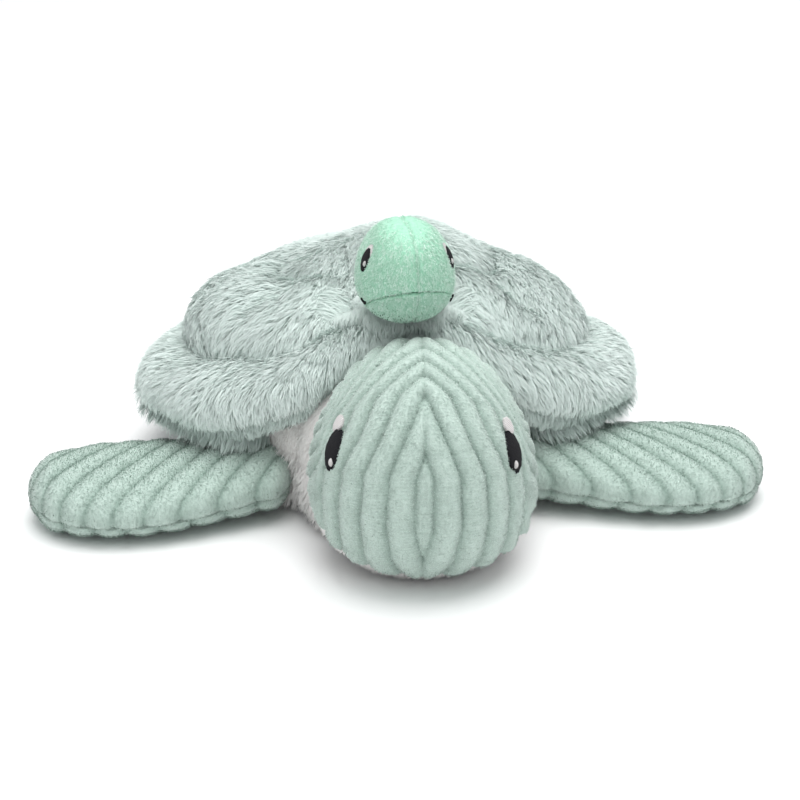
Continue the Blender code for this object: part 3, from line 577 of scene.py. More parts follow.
def limb_points(unit, limb):
    """A flipper along +X from its axis: width swells by a smoothstep to 60% of its length, then tapers.

    The cords cross the top slantwise, and the lower panel's meet them at the seam along the edge.
    """
    length, root, wide = limb["length"], limb["root_width"], limb["width"]
    along = length * (1 + unit[:, 0]) / 2
    widest, blunt = length * 0.6, root / 4
    half = root / 2 + (wide - root) / 2 * smoothstep(0, widest, along)
    half = np.where(along < blunt, half * np.sqrt(np.clip(1 - (1 - along / blunt) ** 2, 0, 1)), half)
    taper = np.clip((along - widest) / (length - widest), 0, 1)
    half *= (1 - taper ** 2.4).clip(0, 1) ** 0.5
    around = np.hypot(unit[:, 1], unit[:, 2])
    side, up = unit[:, 1] / np.maximum(around, 1e-9), unit[:, 2] / np.maximum(around, 1e-9)
    puff = np.minimum(1, (2 * half / root) ** 0.8)
    lift = limb["lift"] * np.clip(1 - along / widest, 0, 1) ** 1.5
    level = limb["thick"] / 2 + lift
    across = half * np.sign(side) * np.abs(side) ** 0.9
    found = np.stack([along, across, level + limb["thick"] / 2 * puff * np.sign(up) * np.abs(up) ** 0.9], -1)
    slant, bent = LIMB_CORD["slant"], across * np.where(up < -0.25, 0.25, 1)
    phase = (along * math.cos(slant) + bent * math.sin(slant)) / LIMB_CORD["pitch"]
    run = along * math.sin(slant) - across * math.cos(slant)
    seam = np.exp(-((up + 0.25) / 0.12) ** 2) * np.abs(side)
    outward = unit_of(np.stack([0 * along, side, up], -1))
    press = CORD_RELIEF["limb"] * (rib(phase) - 0.75) - 0.0016 * seam
    found += outward * (press * smoothstep(0, 0.008, half))[:, None]
    found[:, 2] = found[:, 2].clip(0, None)
    return found, phase, run


def placed_limb(found, limb, side):
    """Puts a flipper made along +X on its axis; the right one is the left one's mirror image."""
    turned = turn_z(found, math.radians(limb["sweep"])) + (*limb["root"], 0)
    return turned * (side, 1, 1)


# Meshes

def piece(name, points, faces, cloth, body, numbers=None):
    """Makes a mesh object at the origin that moves with a body, with any numbers kept on its points."""
    mesh = bpy.data.meshes.new(name)
    mesh.from_pydata(points, [], faces)
    for key, values in (numbers or {}).items():
        mesh.attributes.new(key, "FLOAT", "POINT").data.foreach_set("value", values.astype(np.float32))
    mesh.shade_smooth()
    mesh.materials.append(cloth.material)
    mesh.update()
    obj = bpy.data.objects.new(name, mesh)
    bpy.context.scene.collection.objects.link(obj)
    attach(obj, body)
    return obj


def cover(name, points, faces, cloth, body, nodes=(), fill=None, numbers=None):
    """A closed piece that stands for CAD nodes; the fill is not used. Returns its surface."""
    faces = turned_out(points, faces)
    obj = piece(name, points, faces, cloth, body, numbers)
    if nodes:
        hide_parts(*nodes)
    return points, faces


def joined(*surfaces):
    """Closed surfaces, each turned out, as one set of points and faces."""
    starts = np.cumsum([0] + [len(points) for points, _ in surfaces])
    faces = [turned_out(*surface) + start for surface, start in zip(surfaces, starts)]
    return np.concatenate([points for points, _ in surfaces]), np.concatenate(faces)


def less(surface, tool):
    """What is left of a closed surface when another is cut out of it."""
    objects = []
    for points, faces in (surface, tool):
        mesh = bpy.data.meshes.new("cut")
        mesh.from_pydata(points, [], turned_out(points, faces))
        objects.append(bpy.data.objects.new("cut", mesh))
        bpy.context.scene.collection.objects.link(objects[-1])
    modifier = objects[0].modifiers.new("cut", "BOOLEAN")
    modifier.object, modifier.operation, modifier.solver = objects[1], "DIFFERENCE", "EXACT"
    found = bpy.data.meshes.new_from_object(
        objects[0].evaluated_get(bpy.context.evaluated_depsgraph_get()))
    found.calc_loop_triangles()
    where = np.empty(len(found.vertices) * 3, np.float32)
    found.vertices.foreach_get("co", where)
    corners = np.empty(len(found.loop_triangles) * 3, np.int32)
    found.loop_triangles.foreach_get("vertices", corners)
    for obj in objects:
        bpy.data.objects.remove(obj, do_unlink=True)
    return where.reshape(-1, 3).astype(float), corners.reshape(-1, 3)


def scatter(points, faces, count, seed, tones):
    """Random spots on a surface, evenly by area, with the smooth normal and the points' tone at each."""
    rng = np.random.default_rng(seed)
    normals = normals_of(points, faces)
    a, b, c = (points[faces[:, i]] for i in range(3))
    area = np.linalg.norm(np.cross(b - a, c - a), axis=-1)
    total = np.cumsum(area)
    pick = np.searchsorted(total, rng.random(count) * total[-1]).clip(0, len(faces) - 1)
    u, v = rng.random((2, count))
    fold = u + v > 1
    u, v = np.where(fold, 1 - u, u)[:, None], np.where(fold, 1 - v, v)[:, None]
    i, j, k = faces[pick].T
    tones = np.broadcast_to(tones, len(points))[:, None]

    def blend(values):
        return values[i] * (1 - u - v) + values[j] * u + values[k] * v

    return blend(points), unit_of(blend(normals)), blend(tones)[:, 0], rng


def hairs(name, spots, normal, comb, rng, cloth, body, length, tone, width, lean, tuft, pull, stray,
          front=None, mottle=0.13):
    """A pile of tapered hairs, each two triangles: root, two points at mid height and tip.

    A tip is the root plus the length times a blend of the normal, the comb and a random vector, drawn
    sideways to the middle of the hair's lock. The points at mid height lie bowed outwards, a width apart,
    on the side of the hair that faces out. Light falls on a hair nearly as on the surface it grows from,
    or as on one that faces the given way.
    """
    count = len(spots)
    front = normal if front is None else front(spots, normal)
    length = np.broadcast_to(length, count) * rng.uniform(0.75, 1.1, count)
    heart, _, number = nearest_spots(spots, tuft, comb)
    aside = heart - spots
    rise, slide = [(aside * line).sum(-1, keepdims=True) for line in (normal, comb)]
    aside -= normal * rise + comb * slide * 0.8
    way = unit_of(normal * (1 - lean) + comb * lean + rng.normal(0, stray, (count, 3)))
    tip = spots + way * length[:, None] + aside * pull
    tip[:, 2] = tip[:, 2].clip(0.0002, None)
    middle = spots * 0.45 + tip * 0.55 + normal * (length * 0.12)[:, None]
    axis = unit_of(tip - spots)
    across = unit_of(np.cross(axis, front + rng.normal(0, 0.2, (count, 3))))
    facing_out = unit_of(np.cross(across, axis))
    across *= width / 2
    points = np.stack([spots, middle - across, middle + across, tip], 1).reshape(-1, 3)
    start = np.arange(count)[:, None] * 4
    faces = np.concatenate([start + (0, 2, 1), start + (1, 2, 3)], 1).reshape(-1, 3)
    shade = (0.5 + tone + mottle * (number - 0.5 + rng.normal(0, 0.3, count))).clip(0.06, 0.94)
    shades = (shade[:, None] + (0, -0.02, 0.02, 0)).ravel()
    heights = np.tile([0.03, 0.5, 0.55, 0.97], count)
    obj = piece(name, points, faces, cloth, body, {"shade": shades, "height": heights})
    lit = unit_of(front + facing_out * 0.2 + rng.normal(0, 0.04, (count, 3)))
    obj.data.normals_split_custom_set_from_vertices(np.repeat(lit, 4, axis=0))
    plan = obj.data.uv_layers.new(name="OFBake")
    plan.uv.foreach_set("vector", np.stack([shades, heights], -1)[faces.ravel()].astype(np.float32).ravel())


def nap(name, surface, count, seed, cloth, body, length, comb, keep, batches=1, tones=0.0, grain=None,
        **lie):
    """Covers a surface with hairs, along the comb's way at each spot that is to be kept.

    A hair is lighter or darker by the tone of the points round it, and by the grain at its spot; in places
    these carry painted shade.
    """
    spots, normal, tone, rng = scatter(*surface, count, seed, tones)
    if grain is not None:
        tone = tone + grain(spots, normal)
    kept = keep(spots, normal)
    spots, normal, tone = spots[kept], normal[kept], tone[kept]
    for i in range(batches):
        s, n, t = spots[i::batches], normal[i::batches], tone[i::batches]
        size = length(s, n) if callable(length) else length
        label = name if batches == 1 else f"{name}_{i + 1}"
        hairs(label, s, n, comb(s, n), rng, cloth, body, size, t, **lie)


# Materials

def pile_cloth(name, slot, deep, tip, by_shade):
    """Hair: deep at the root, light at the tip, and lighter or darker from one tuft to the next."""
    cloth = Cloth(name, slot, 0.9, 0.3)
    height, shade = cloth.attribute("height"), cloth.attribute("shade")
    share = (height ** 0.8 * 0.8 + shade * by_shade + (0.13 - 0.5 * by_shade)).kept()
    cloth.colour(cloth.mixed(share, deep, tip))
    return cloth


def backing_cloth(name, slot, deep, light, scale):
    """The ground that a pile stands on."""
    cloth = Cloth(name, slot, 0.95, 0.2)
    grain = cloth.noise(cloth.places(), scale, 3.0)
    cloth.colour(cloth.mixed(grain, deep, light))
    cloth.bump(grain, 0.0006)
    return cloth


def cord_cloth(name, slot, deep, top):
    """Corduroy: a knit grain in short rows across each cord, and painted shade deeper in the grooves."""
    cloth = Cloth(name, slot, 0.92, 0.35)
    phase, run, height = [cloth.attribute(key) for key in ("cord", "run", "ridge")]
    where = cloth.add("ShaderNodeCombineXYZ", None, {0: phase * 5.0, 1: run * 1100.0, 2: 0.0})
    rows = cloth.noise(where, 1.0, 2.0, 0.6)
    fine, blotch = cloth.noise(cloth.places(), 1500), cloth.noise(cloth.places(), 120)
    share = (height * 0.65 + rows * 0.5 + fine * 0.25 + blotch * 0.3 - 0.32).kept()
    cloth.colour(cloth.mixed(share, deep, top))
    cloth.bump(rows * 0.7 + fine * 0.3, 0.0008)
    return cloth


def thread_cloth(name, slot, colour, light, roughness):
    """Embroidery: satin stitches side by side across the patch."""
    cloth = Cloth(name, slot, roughness)
    row = cloth.attribute("row")
    stitch = cloth.add("ShaderNodeMath", {"operation": "PINGPONG"}, {0: row, 1: 0.5}) * 2.0
    fine = cloth.noise(cloth.places(), 2500)
    cloth.colour(cloth.mixed((stitch * 0.5 + fine * 0.3).kept(), colour, light))
    cloth.bump(stitch, 0.0004)
    return cloth


SAGE_PILE = pile_cloth("sage long pile", "sage_pile", SAGE_DEEP, SAGE_TIP, 1.0)
SAGE_GROUND = backing_cloth("sage pile ground", "sage_pile", (0.66, 0.77, 0.72), (0.80, 0.91, 0.86), 1400)
CORD = cord_cloth("sage corduroy", "sage_corduroy", CORD_DEEP, CORD_TOP)
CORD_NAP = pile_cloth("sage corduroy nap", "sage_corduroy", (0.26, 0.37, 0.315), (0.72, 0.86, 0.79), 0.7)
WHITE_PILE = pile_cloth("white short plush", "white_plush", WHITE_DEEP, WHITE_TIP, 0.5)
WHITE_GROUND = backing_cloth(
    "white plush ground", "white_plush", (0.80, 0.77, 0.75), (0.90, 0.88, 0.86), 900)
MINT = backing_cloth("mint velour", "mint_velour", MINT_DEEP, (0.52, 0.84, 0.67), 700)
MINT_NAP = pile_cloth("mint velour nap", "mint_velour", MINT_DEEP, MINT_TIP, 0.8)
BLACK = thread_cloth("black embroidery", "black_thread", (0.006, 0.006, 0.008), (0.018, 0.018, 0.022), 0.9)
WHITE = thread_cloth("white embroidery", "white_thread", (0.80, 0.77, 0.76), (0.92, 0.90, 0.89), 0.8)
COTTON = backing_cloth("cotton lining", "lining", (0.42, 0.48, 0.44), (0.55, 0.62, 0.57), 1800)


# Belly and shell

def make_belly():
    """Belly bag and chest in one white plush cover."""
    unit, faces = directions(40, 96)
    ball, ball_faces = directions(30, 64)
    surface = joined((belly_points(unit), faces), (neck_points(ball), ball_faces))
    cover("belly_plush", *surface, WHITE_GROUND, "body", ["belly"], 0.7)

    def keep(spots, _):
        clear = (beyond_head(spots) > 0.0005) & ~in_rim(spots, -0.001)
        return (spots[:, 2] > 0.0012) & (spots[:, 2] < 0.0495) & clear

    def length(spots, _):
        chest = (spots[:, 1] < -0.030) & (np.abs(spots[:, 0]) > 0.018) & (spots[:, 2] < 0.030)
        return 0.0030 + 0.0025 * chest

    nap("belly_nap", surface, 80000, 11, WHITE_PILE, "body", length,
        lambda s, n: unit_of(n * 0.3 + (0, 0, -1.0)), keep, **SHORT_PLUSH)


def dome_comb(points, normal):
    """Down and outwards from the crown, and a little to the front."""
    away = points - (0, 0.02, 0)
    away[:, 2] = 0
    return ruffled(unit_of(away) * 0.7 + (0, -0.25, -0.5), normal, points)


def make_dome():
    """Quilted dome under its long pile, parted where the small turtle sits."""
    unit, faces = directions(120, 300)
    base = BELLY["top"]
    surface = less((dome_points(unit), faces), pocket_surface(0.0010, 0.0))
    points, faces = less(surface, small_head_surface(0.0014, 24, 40))
    share = smoothstep(base + 0.001, base + 0.010, points[:, 2])
    share *= smoothstep(0.002, 0.009, beyond_pocket(points))
    surface = locks(points, faces, dome_comb, share), faces
    cover("shell_dome_ground", *surface, SAGE_GROUND, "body", ["shell_dome"], 0.7)

    def keep(spots, _):
        buried = in_rim(spots, -0.001) | in_pocket(spots, 0.0012) | in_small_head(spots, 0.0016)
        return (spots[:, 2] > base + 0.0015) & ~buried

    # Painted shade: the pile is darker along the quilted creases and low on the dome, where the rim meets
    # it.
    def tone(spots, _):
        low = 1 - smoothstep(base + 0.002, base + 0.012, spots[:, 2])
        return -0.22 * quilting(spots[:, 0], spots[:, 1] - SHELL_Y) * (1 - low) - 0.35 * low

    nap("shell_dome_pile", surface, 315000, 21, SAGE_PILE, "body", 0.0062, dome_comb, keep,
        batches=3, grain=tone, **LONG_PILE)

    def by_mouth(spots, normal):
        near = beyond_pocket(spots) < 0.011
        return keep(spots, normal) & near & (spots[:, 1] < -0.020) & (np.abs(spots[:, 0]) > 0.010)

    nap("pocket_edge_pile", surface, 620000, 23, SAGE_PILE, "body", 0.0150,
        lambda s, n: unit_of((0, -0.40, -0.45) - s * (32, 0, 0)), by_mouth,
        front=lambda s, n: unit_of(n + (0, -1.0, 0.6)), **EDGE_PILE)


def outwards(points):
    """The level way out from the middle of the shell."""
    out = points - (0, SHELL_Y, 0)
    out[:, 2] = 0
    return unit_of(out)


def rim_comb(points, normal):
    """Outwards over the top of the roll and down its side."""
    way = outwards(points) * (0.3 + 0.8 * np.clip(normal[:, 2:], 0, 1)) + (0, 0, -0.7)
    return ruffled(way, normal, points, 0.8, 0.022, 4.0)


def make_rim():
    """The padded rim under its long pile, and the fringe that hangs from its lower edge."""
    turn, around, faces = ring_grid(420, 80)
    points = rim_points(turn, around)
    faces = turned_out(points, faces)
    share = 1 - 0.75 * smoothstep(0.1, 0.8, -np.cos(around))
    share *= 1 - 0.5 * smoothstep(0.5, 1.0, -np.sin(around))
    share *= smoothstep(0.0035, 0.010, beyond_head(points)) * smoothstep(0.002, 0.009, beyond_pocket(points))
    surface = less((locks(points, faces, rim_comb, share), faces), pocket_surface(0.0010, 0.0))
    cover("shell_rim_ground", *surface, SAGE_GROUND, "body", ["shell_rim"], 0.7)

    def keep(spots, _):
        flat = spots - (0, SHELL_Y, BELLY["top"])
        in_dome = in_rounded(flat, DOME["width"] / 2, DOME["front"], DOME["rear"], 0.001, DOME["rise"], 2.6)
        local = spots - (0, SHELL_Y, BELLY["top"] / 2)
        in_belly = in_rounded(local, 0.069, 0.082, 0.081, 0.042, 0.042, 2.6) & (spots[:, 2] < BELLY["top"])
        buried = in_dome | in_belly | in_pocket(spots, 0.0012) | in_small_head(spots, 0.001)
        return ~buried & (beyond_head(spots) > 0.001)

    # The rim's pile takes painted shade: darker in the valley, under the crease and underneath.
    nap("shell_rim_pile", surface, 225000, 31, SAGE_PILE, "body",
        lambda s, n: 0.0040 + 0.0030 * smoothstep(0.001, 0.008, beyond_head(s)), rim_comb, keep,
        batches=3, grain=rim_painted_shade, **LONG_PILE)

    def by_mouth(spots, normal):
        near = beyond_pocket(spots) < 0.012
        return keep(spots, normal) & near & (spots[:, 2] > 0.058) & (spots[:, 1] < -0.034)

    nap("pocket_lip_pile", surface, 480000, 35, SAGE_PILE, "body", 0.0085,
        lambda s, n: unit_of((0, -0.25, 0.9) - s * (12, 0, 0)), by_mouth,
        front=lambda s, n: unit_of(n + (0, -1.0, 0.3)), **LIP_PILE)

    def at_edge(spots, normal):
        return keep(spots, normal) & (normal[:, 2] < -0.35) & (normal[:, 2] > -0.98) & (spots[:, 2] < 0.036)

    def lit(spots, _):
        return unit_of(outwards(spots) + (0, 0, 0.35))

    def hanging(spots, normal):
        stray = 0.2 * lattice_random(np.round(spots / 0.004), 2.0)
        return unit_of(lit(spots, normal) * 0.45 + (0, 0, -1.0) + stray)

    def fringe_length(spots, _):
        lowest = 0.0265 - 0.0065 * smoothstep(0.015, 0.045, spots[:, 1])
        return np.clip((spots[:, 2] - lowest) / 0.85, 0.0015, 0.012)

    # The fringe's hairs are all made darker: painted shade under the rim.
    nap("shell_fringe", surface, 200000, 33, SAGE_PILE, "body", fringe_length, hanging, at_edge,
        grain=lambda s, n: -0.22, front=lit, **FRINGE)


def pocket_surface(grow, carried=SMALL["length"], rings=16, sides=40):
    """The small turtle's room grown by a width: a superellipsoid whose front end is carried out along -Y."""
    unit, faces = directions(rings, sides)
    unit = unit[:, [0, 2, 1]]
    *plan, tall = pocket_sizes(grow)
    found = rounded(unit, *plan, tall, tall, POCKET["power"])
    found[:, 1] -= np.where(unit[:, 1] < 0, carried, 0)
    return from_small(found), faces


def make_lining():
    """The pocket's sleeve: its room grown by the cloth's thickness, less the room itself."""
    outer, faces = pocket_surface(0.0014, rings=24, sides=48)
    mouth, normal = np.array([0, -0.040, 0.100]), unit_of(np.array([0, -0.94, 0.34]))
    outer = kept_on_one_side(outer, mouth, normal, np.array([0, 0.0, 0.072]))
    sleeve = less((outer, faces), pocket_surface(0.0005, rings=24, sides=48))
    cover("pocket_sleeve", *sleeve, COTTON, "body", ["pocket_lining"])


# Head and limbs

def head_skin(unit):
    """The head without its cords, for the embroidery."""
    return head_points(unit, cloth=False)[0]


def make_head():
    """Corduroy face and white chin, parted along the sloping seam, with embroidered eyes."""
    spot = np.array([0, HEAD["y"] - CHIN["front"], 0])
    behind = np.array([0, math.sin(CHIN["slope"]), -math.cos(CHIN["slope"])])
    unit, faces = directions(170, 240, lengthwise=True)
    points, phase, run = head_points(unit)
    front = np.array([HEAD["x"], HEAD["y"] - 0.014, HEAD["z"] + 0.012])
    points = kept_on_one_side(points, spot, behind, front)
    surface = cover("head_cord", points, faces, CORD, "head", ["head"], 0.8,
                    {"cord": phase, "run": run, "ridge": rib(phase)})

    def keep(spots, _):
        in_front = ((spots - spot) @ behind < -0.0006) & (spots[:, 2] > 0.0005)
        return in_front & ~near_patches(spots, head_skin, EYES)

    # The nap's tone is lower in the cords' grooves: painted shade.
    nap("head_nap", surface, 105000, 41, CORD_NAP, "head", 0.0007,
        lambda s, n: unit_of(n + (0, 0.2, -0.8)), keep, tones=rib(phase) * 0.7 - 0.5, grain=knit, mottle=0.4,
        **CORD_FUZZ)

    unit, faces = directions(60, 110, lengthwise=True)
    points = head_points(unit, cloth=False, face=False)[0] - unit * 0.0010
    points = kept_on_one_side(points, spot + behind * 0.0004, -behind, np.array([HEAD["x"], -0.070, 0.030]))
    surface = cover("chin_plush", points, faces, WHITE_GROUND, "head", ["chin"], 0.8)
    nap("chin_nap", surface, 70000, 43, WHITE_PILE, "head",
        lambda s, n: 0.0008 + 0.0022 * smoothstep(0.001, 0.010, (s - spot) @ behind),
        lambda s, n: unit_of(n * 0.4 + (0, 0.6, -0.6)),
        lambda s, n: ((s - spot) @ behind > 0.0016) & (s[:, 2] > 0.0015), **SHORT_PLUSH)
    make_eyes(EYES, head_skin, "head", 0.07, EYE_TILT)


def facing(turn, lift, side):
    """The unit direction at a turn from the nose to one side, and a lift, in degrees, on the turned face."""
    turn, lift = np.radians(np.asarray(turn) - EYE_SHIFT * side), np.radians(lift)
    return np.stack([side * np.sin(turn) * np.cos(lift), -np.cos(turn) * np.cos(lift), np.sin(lift)], -1)


def near_patches(spots, skin, patches):
    """Which spots lie under embroidery."""
    found = np.zeros(len(spots), bool)
    for _, side in SIDES:
        for turn, lift, wide, high, _ in patches.values():
            out = facing(turn, lift, side)
            local = spots - skin(out[None])[0]
            right = unit_of(np.cross((0, 0, 1), out))
            up = np.cross(out, right)
            found |= ((local @ right) / (wide * 0.48)) ** 2 + ((local @ up) / (high * 0.48)) ** 2 < 1
    return found


def make_eyes(patches, skin, body, ragged, tilt):
    """Both embroidered eyes: black, a white patch above and a glint low in the black."""
    for label, side in SIDES:
        for kind, (turn, lift, wide, high, raised) in patches.items():
            name = f"{kind}_{label}"
            middle = facing(turn, lift, side)
            points, faces, rows = patch(name, skin, middle, (wide, high), raised, ragged, tilt * side)
            cloth = BLACK if kind.endswith("eye") else WHITE
            nodes = [name] if kind in EYE_NODES else ()
            cover(name + "_stitches", points, faces, cloth, body, nodes, numbers=rows)


def patch(name, skin, middle, size, raised, ragged, tilt):
    """An embroidered oval on a skin: a flat dome whose outline is broken by the ends of its stitches.

    Its outline radius is 1 plus a small saw-tooth, and its height over the skin is the raise times
    the root of the root of 1 - r squared.
    """
    spot = skin(middle[None])[0]
    step = 0.01
    across = unit_of(np.cross((0, 0, 1), middle))
    upward = np.cross(middle, across)
    beside = skin(unit_of(middle + across * step)[None])[0] - spot
    above = skin(unit_of(middle + upward * step)[None])[0] - spot
    rate_x, rate_y = np.linalg.norm(beside) / step, np.linalg.norm(above) / step
    unit, faces = directions(24, 72)
    angle = np.arctan2(unit[:, 1], unit[:, 0])
    teeth = lattice_random(np.round(np.stack([angle * 11, 0 * angle, 0 * angle], -1)), 2.0 + len(name))[:, 0]
    grow = 1 + ragged * (2 * teeth - 1) * np.hypot(unit[:, 0], unit[:, 1]) ** 4
    x, y = unit[:, 0] * grow * size[0] / 2, unit[:, 1] * grow * size[1] / 2
    c, s = math.cos(tilt), math.sin(tilt)
    x, y = x * c - y * s, x * s + y * c
    aim = unit_of(middle + across * (x / rate_x)[:, None] + upward * (y / rate_y)[:, None])
    height = np.where(unit[:, 2] > 0, np.abs(unit[:, 2]) ** 0.5 * raised, unit[:, 2] * 0.0006)
    return skin(aim) + unit_of(np.cross(beside, above)) * height[:, None], faces, {"row": y / 0.00055}


def make_limb(name, limb, side, body, grid, count):
    """A padded corduroy limb and its nap, both darker than the head's."""
    unit, faces = directions(*grid, lengthwise=True)
    found, phase, run = limb_points(unit, limb)
    points = placed_limb(found, limb, side)
    # Lower ridge numbers and nap tones in the cords' grooves paint shade there; the limbs' are also set
    # lower than the head's.
    surface = cover(name + "_cord", points, faces, CORD, body, [name], 0.7,
                    {"cord": phase, "run": run, "ridge": rib(phase) - 0.14})
    nap(name + "_nap", surface, count, 51 + len(name) + side, CORD_NAP, body, 0.0008,
        lambda s, n: unit_of(n + (0, -0.3, -0.5)), lambda s, n: s[:, 2] > 0.0006,
        tones=rib(phase) * 0.7 - 0.80, mottle=0.32, **CORD_FUZZ)


def make_limbs():
    """Front and rear flippers on both sides, and the tail."""
    for label, side in SIDES:
        make_limb("front_flipper_" + label, FRONT, side, "front_" + label, (150, 130), 60000)
        make_limb("rear_flipper_" + label, REAR, side, "rear_" + label, (90, 90), 26000)
    make_limb("tail", TAIL, 1, "tail", (60, 60), 9000)


# The small turtle

def small_skin(unit, grow=0.0):
    """The small head's superellipsoid, narrowed towards its crown by a table."""
    *plan, tall = small_head_sizes(grow)
    found = rounded(unit, *plan, tall, tall, SMALL_HEAD["power"])
    found[:, 0] = found[:, 0] * np.interp(unit[:, 2], SMALL_LEVELS, SMALL_SHARES) - 0.0003
    return from_small_head(found)


def small_head_surface(grow, rings, sides):
    """The small head grown by a width, to be cut out of the dome."""
    unit, faces = directions(rings, sides, lengthwise=True)
    return small_skin(unit, grow), faces


def make_small_head():
    """Velour head and chin that meet at the mouth seam, with stitched eyes and corners of the mouth."""
    unit, faces = directions(110, 150, lengthwise=True)
    arc = np.abs(np.arcsin(unit[:, 0])) * 0.02
    points = small_skin(unit) - unit * (0.0008 * np.exp(-(arc / 0.0008) ** 2))[:, None]
    slope, turn = SMALL_MOUTH["slope"], SMALL_HEAD["turn"]
    up = turn_z(np.array([[0, math.sin(slope), math.cos(slope)]]), turn)[0]
    middle = np.array([0, SMALL_HEAD["y"], SMALL_HEAD["z"]])
    mouth = middle - (0, 0, SMALL_MOUTH["drop"])
    ahead = turn_z(np.array([[0, -0.010, -0.012]]), turn)[0]
    # The chin's nap is darker by its tone: painted shade under the small head.
    for label, tone, normal, heart, seed in (
            ("head", 0.0, -up, middle + up * 0.006, 61), ("chin", -0.22, up, middle + ahead, 63)):
        shape = kept_on_one_side(points, mouth - normal * 0.00015, normal, heart)
        surface = cover(
            f"small_{label}_velour", shape, faces, MINT, "small_turtle", ["baby_" + label], 0.8)

        def keep(spots, _, normal=normal):
            return ((spots - mouth) @ normal < -0.0003) & ~near_patches(spots, small_skin, SMALL_EYES)

        nap(f"small_{label}_nap", surface, 34000, seed, MINT_NAP, "small_turtle", 0.0011,
            lambda s, n: unit_of(n * 0.5 + (0, 0.1, -0.9)), keep, tones=tone, **VELOUR)
    make_eyes(SMALL_EYES, small_skin, "small_turtle", 0.04, SMALL_EYE_TILT)


def make_small_body():
    """Velour body and flippers under a pile shell of its own, in the pocket."""
    unit, faces = directions(40, 70)
    half, tall, power = SMALL["length"] / 2, SMALL["tall"], SMALL["power"]
    low = rounded(unit, SMALL["width"] / 2, half, half, tall, 0.0, power) - (0, 0, SEAM / 2)
    high = rounded(unit, SMALL["width"] / 2, half, half, 0.0, tall, power) + (0, 0, SEAM / 2)
    ball, ball_faces = directions(20, 36)
    neck = ball * SMALL_NECK["radius"] + (0, -SMALL_NECK["reach"], SMALL_NECK["lift"])
    bag = joined((from_small(low), faces), (from_small(neck), ball_faces))
    cover("small_body_velour", *bag, MINT, "small_turtle", ["baby_body"], 0.7)
    shell = cover(
        "small_shell_ground", from_small(high), faces, SAGE_GROUND, "small_turtle", ["baby_shell"], 0.7)
    nap("small_shell_pile", shell, 22000, 65, SAGE_PILE, "small_turtle", 0.0022,
        lambda s, n: unit_of(n * 0.2 + (0, 0.94, -0.34)), lambda s, n: n @ np.array([0, 0.34, 0.94]) > 0.1,
        **SMALL_PILE)
    unit, faces = directions(24, 30)
    beside = (SMALL["width"] + SMALL_FRONT["width"]) / 2
    for label, side in SIDES:
        for kind, size, place in (
                ("front", SMALL_FRONT, (side * beside, SMALL_FRONT["y"], 0)),
                ("rear", SMALL_REAR, (side * SMALL["width"] / 4, half, 0))):
            long, thick = size["length"] / 2, size["thick"] / 2
            shape = rounded(unit, size["width"] / 2, long, long, thick, thick, 2.0) + place
            cover(f"small_{kind}_flipper_{label}", from_small(shape), faces, MINT, "small_turtle",
                  [f"baby_{kind}_flipper_{label}"], 0.6)
        make_mouth(label, side)


def make_mouth(label, side):
    """A short black thread that turns down at the corner of the mouth."""
    share = np.linspace(0, 1, 14)
    path = small_skin(facing(64 + 7 * share, -30 + 11 * np.abs(share - 0.4) ** 1.1, side), 0.0010)
    points, faces = tube(path, 0.00042, 10)
    cover("small_mouth_" + label, points, faces, BLACK, "small_turtle", ["baby_mouth_" + label],
          numbers={"row": np.linspace(0, 8, len(points))})


def tube(path, radius, sides):
    """A round tube along a path, closed by a point at each end."""
    ahead = unit_of(np.gradient(path, axis=0))
    right = unit_of(np.cross(ahead, (0.3, 0.2, 1.0)))
    up = np.cross(right, ahead)
    s = np.arange(sides) * 2 * np.pi / sides
    rings = path[:, None] + radius * (right[:, None] * np.cos(s)[:, None] + up[:, None] * np.sin(s)[:, None])
    ends = path[[0, -1]] + ahead[[0, -1]] * ((-radius,), (radius,))
    return np.concatenate([ends[:1], rings.reshape(-1, 3), ends[1:]]), capped_rings(len(path) + 1, sides)


# Camera, floor and light

def make_camera():
    """The photograph's view: 22 degrees up and 5.5 degrees to the turtle's right, 850 mm away."""
    lift, turn, away = math.radians(22), math.radians(-5.5), 0.850
    back = np.array([math.sin(turn) * math.cos(lift), -math.cos(turn) * math.cos(lift), math.sin(lift)])
    data = bpy.data.cameras.new("camera")
    data.lens, data.sensor_width = 93.29, 36.0
    data.shift_x, data.shift_y = 0.0025, 0.00625
    data.clip_start, data.clip_end = 0.01, 50.0
    camera = bpy.data.objects.new("camera", data)
    bpy.context.scene.collection.objects.link(camera)
    camera.location = back * away + (0.0, -0.032, 0.040)
    camera.rotation_euler = (math.pi / 2 - lift, 0, turn)
    bpy.context.scene.camera = camera


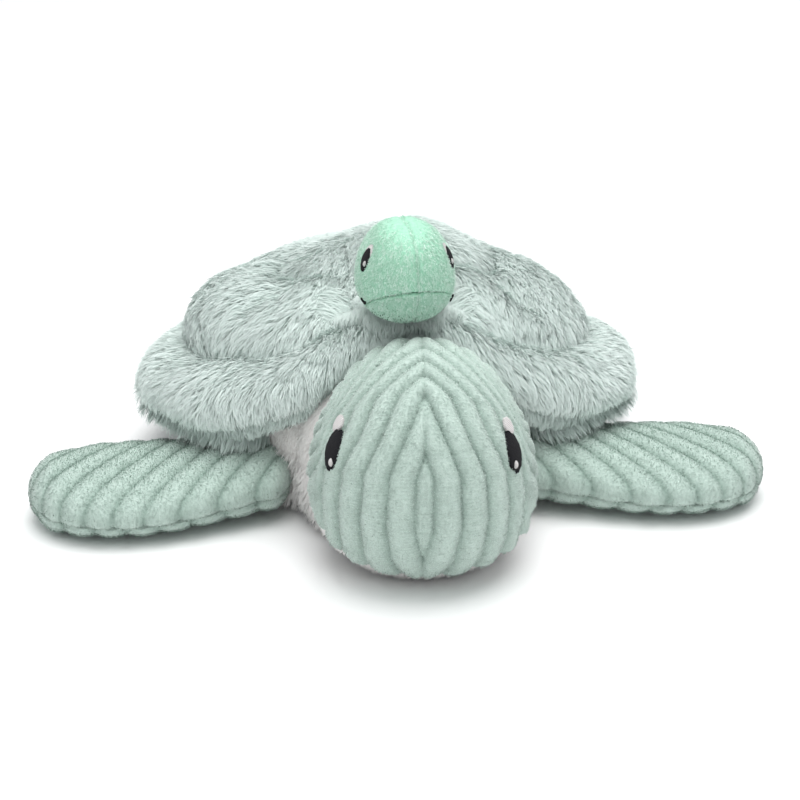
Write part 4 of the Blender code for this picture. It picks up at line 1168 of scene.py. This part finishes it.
def make_floor():
    """A white floor that keeps a soft shadow."""
    mesh = bpy.data.meshes.new("floor")
    mesh.from_pydata([(-8, -8, 0), (8, -8, 0), (8, 8, 0), (-8, 8, 0)], [], [(0, 1, 2, 3)])
    floor = bpy.data.objects.new("floor", mesh)
    bpy.context.scene.collection.objects.link(floor)
    white = Cloth("white floor", None, 0.9)
    white.colour((0.97, 0.97, 0.97))
    white.shader.inputs["Specular IOR Level"].default_value = 0.1
    mesh.materials.append(white.material)


def make_world():
    """A pale sky that lights the toy, seen as white by the camera and in any reflection."""
    world = bpy.data.worlds.new("studio")
    bpy.context.scene.world = world
    world.use_nodes = True
    nodes, links = world.node_tree.nodes, world.node_tree.links
    light, seen = nodes["Background"], nodes.new("ShaderNodeBackground")
    light.inputs["Color"].default_value, light.inputs["Strength"].default_value = (0.97, 0.985, 1.0, 1), 0.50
    seen.inputs["Color"].default_value, seen.inputs["Strength"].default_value = (1, 1, 1, 1), 1.0
    rays = nodes.new("ShaderNodeLightPath")
    share = rays.outputs["Is Camera Ray"]
    for kind in ("Is Glossy Ray", "Is Transmission Ray"):
        either = nodes.new("ShaderNodeMath")
        either.operation = "MAXIMUM"
        links.new(share, either.inputs[0])
        links.new(rays.outputs[kind], either.inputs[1])
        share = either.outputs[0]
    mix = nodes.new("ShaderNodeMixShader")
    for output, socket in ((share, 0), (light.outputs[0], 1), (seen.outputs[0], 2)):
        links.new(output, mix.inputs[socket])
    links.new(mix.outputs[0], nodes["World Output"].inputs["Surface"])


def make_lamps():
    """Two broad soft lamps that look at the toy."""
    for name, place, size, power in (
            ("key lamp", (-0.25, -0.85, 1.7), 1.4, 10.5), ("top lamp", (0.2, 0.1, 1.8), 1.8, 27.5)):
        data = bpy.data.lights.new(name, "AREA")
        data.shape, data.size, data.energy = "DISK", size, power
        lamp = bpy.data.objects.new(name, data)
        bpy.context.scene.collection.objects.link(lamp)
        lamp.location = place
        x, y, z = -np.array(place) + (0, 0, 0.04)
        lamp.rotation_euler = (math.atan2(math.hypot(x, y), -z), 0, math.atan2(y, x) - math.pi / 2)


make_camera()
make_floor()
make_world()
make_lamps()
make_belly()
make_dome()
make_rim()
make_lining()
make_head()
make_limbs()
make_small_head()
make_small_body()
bpy.context.scene.view_settings.view_transform = "Standard"
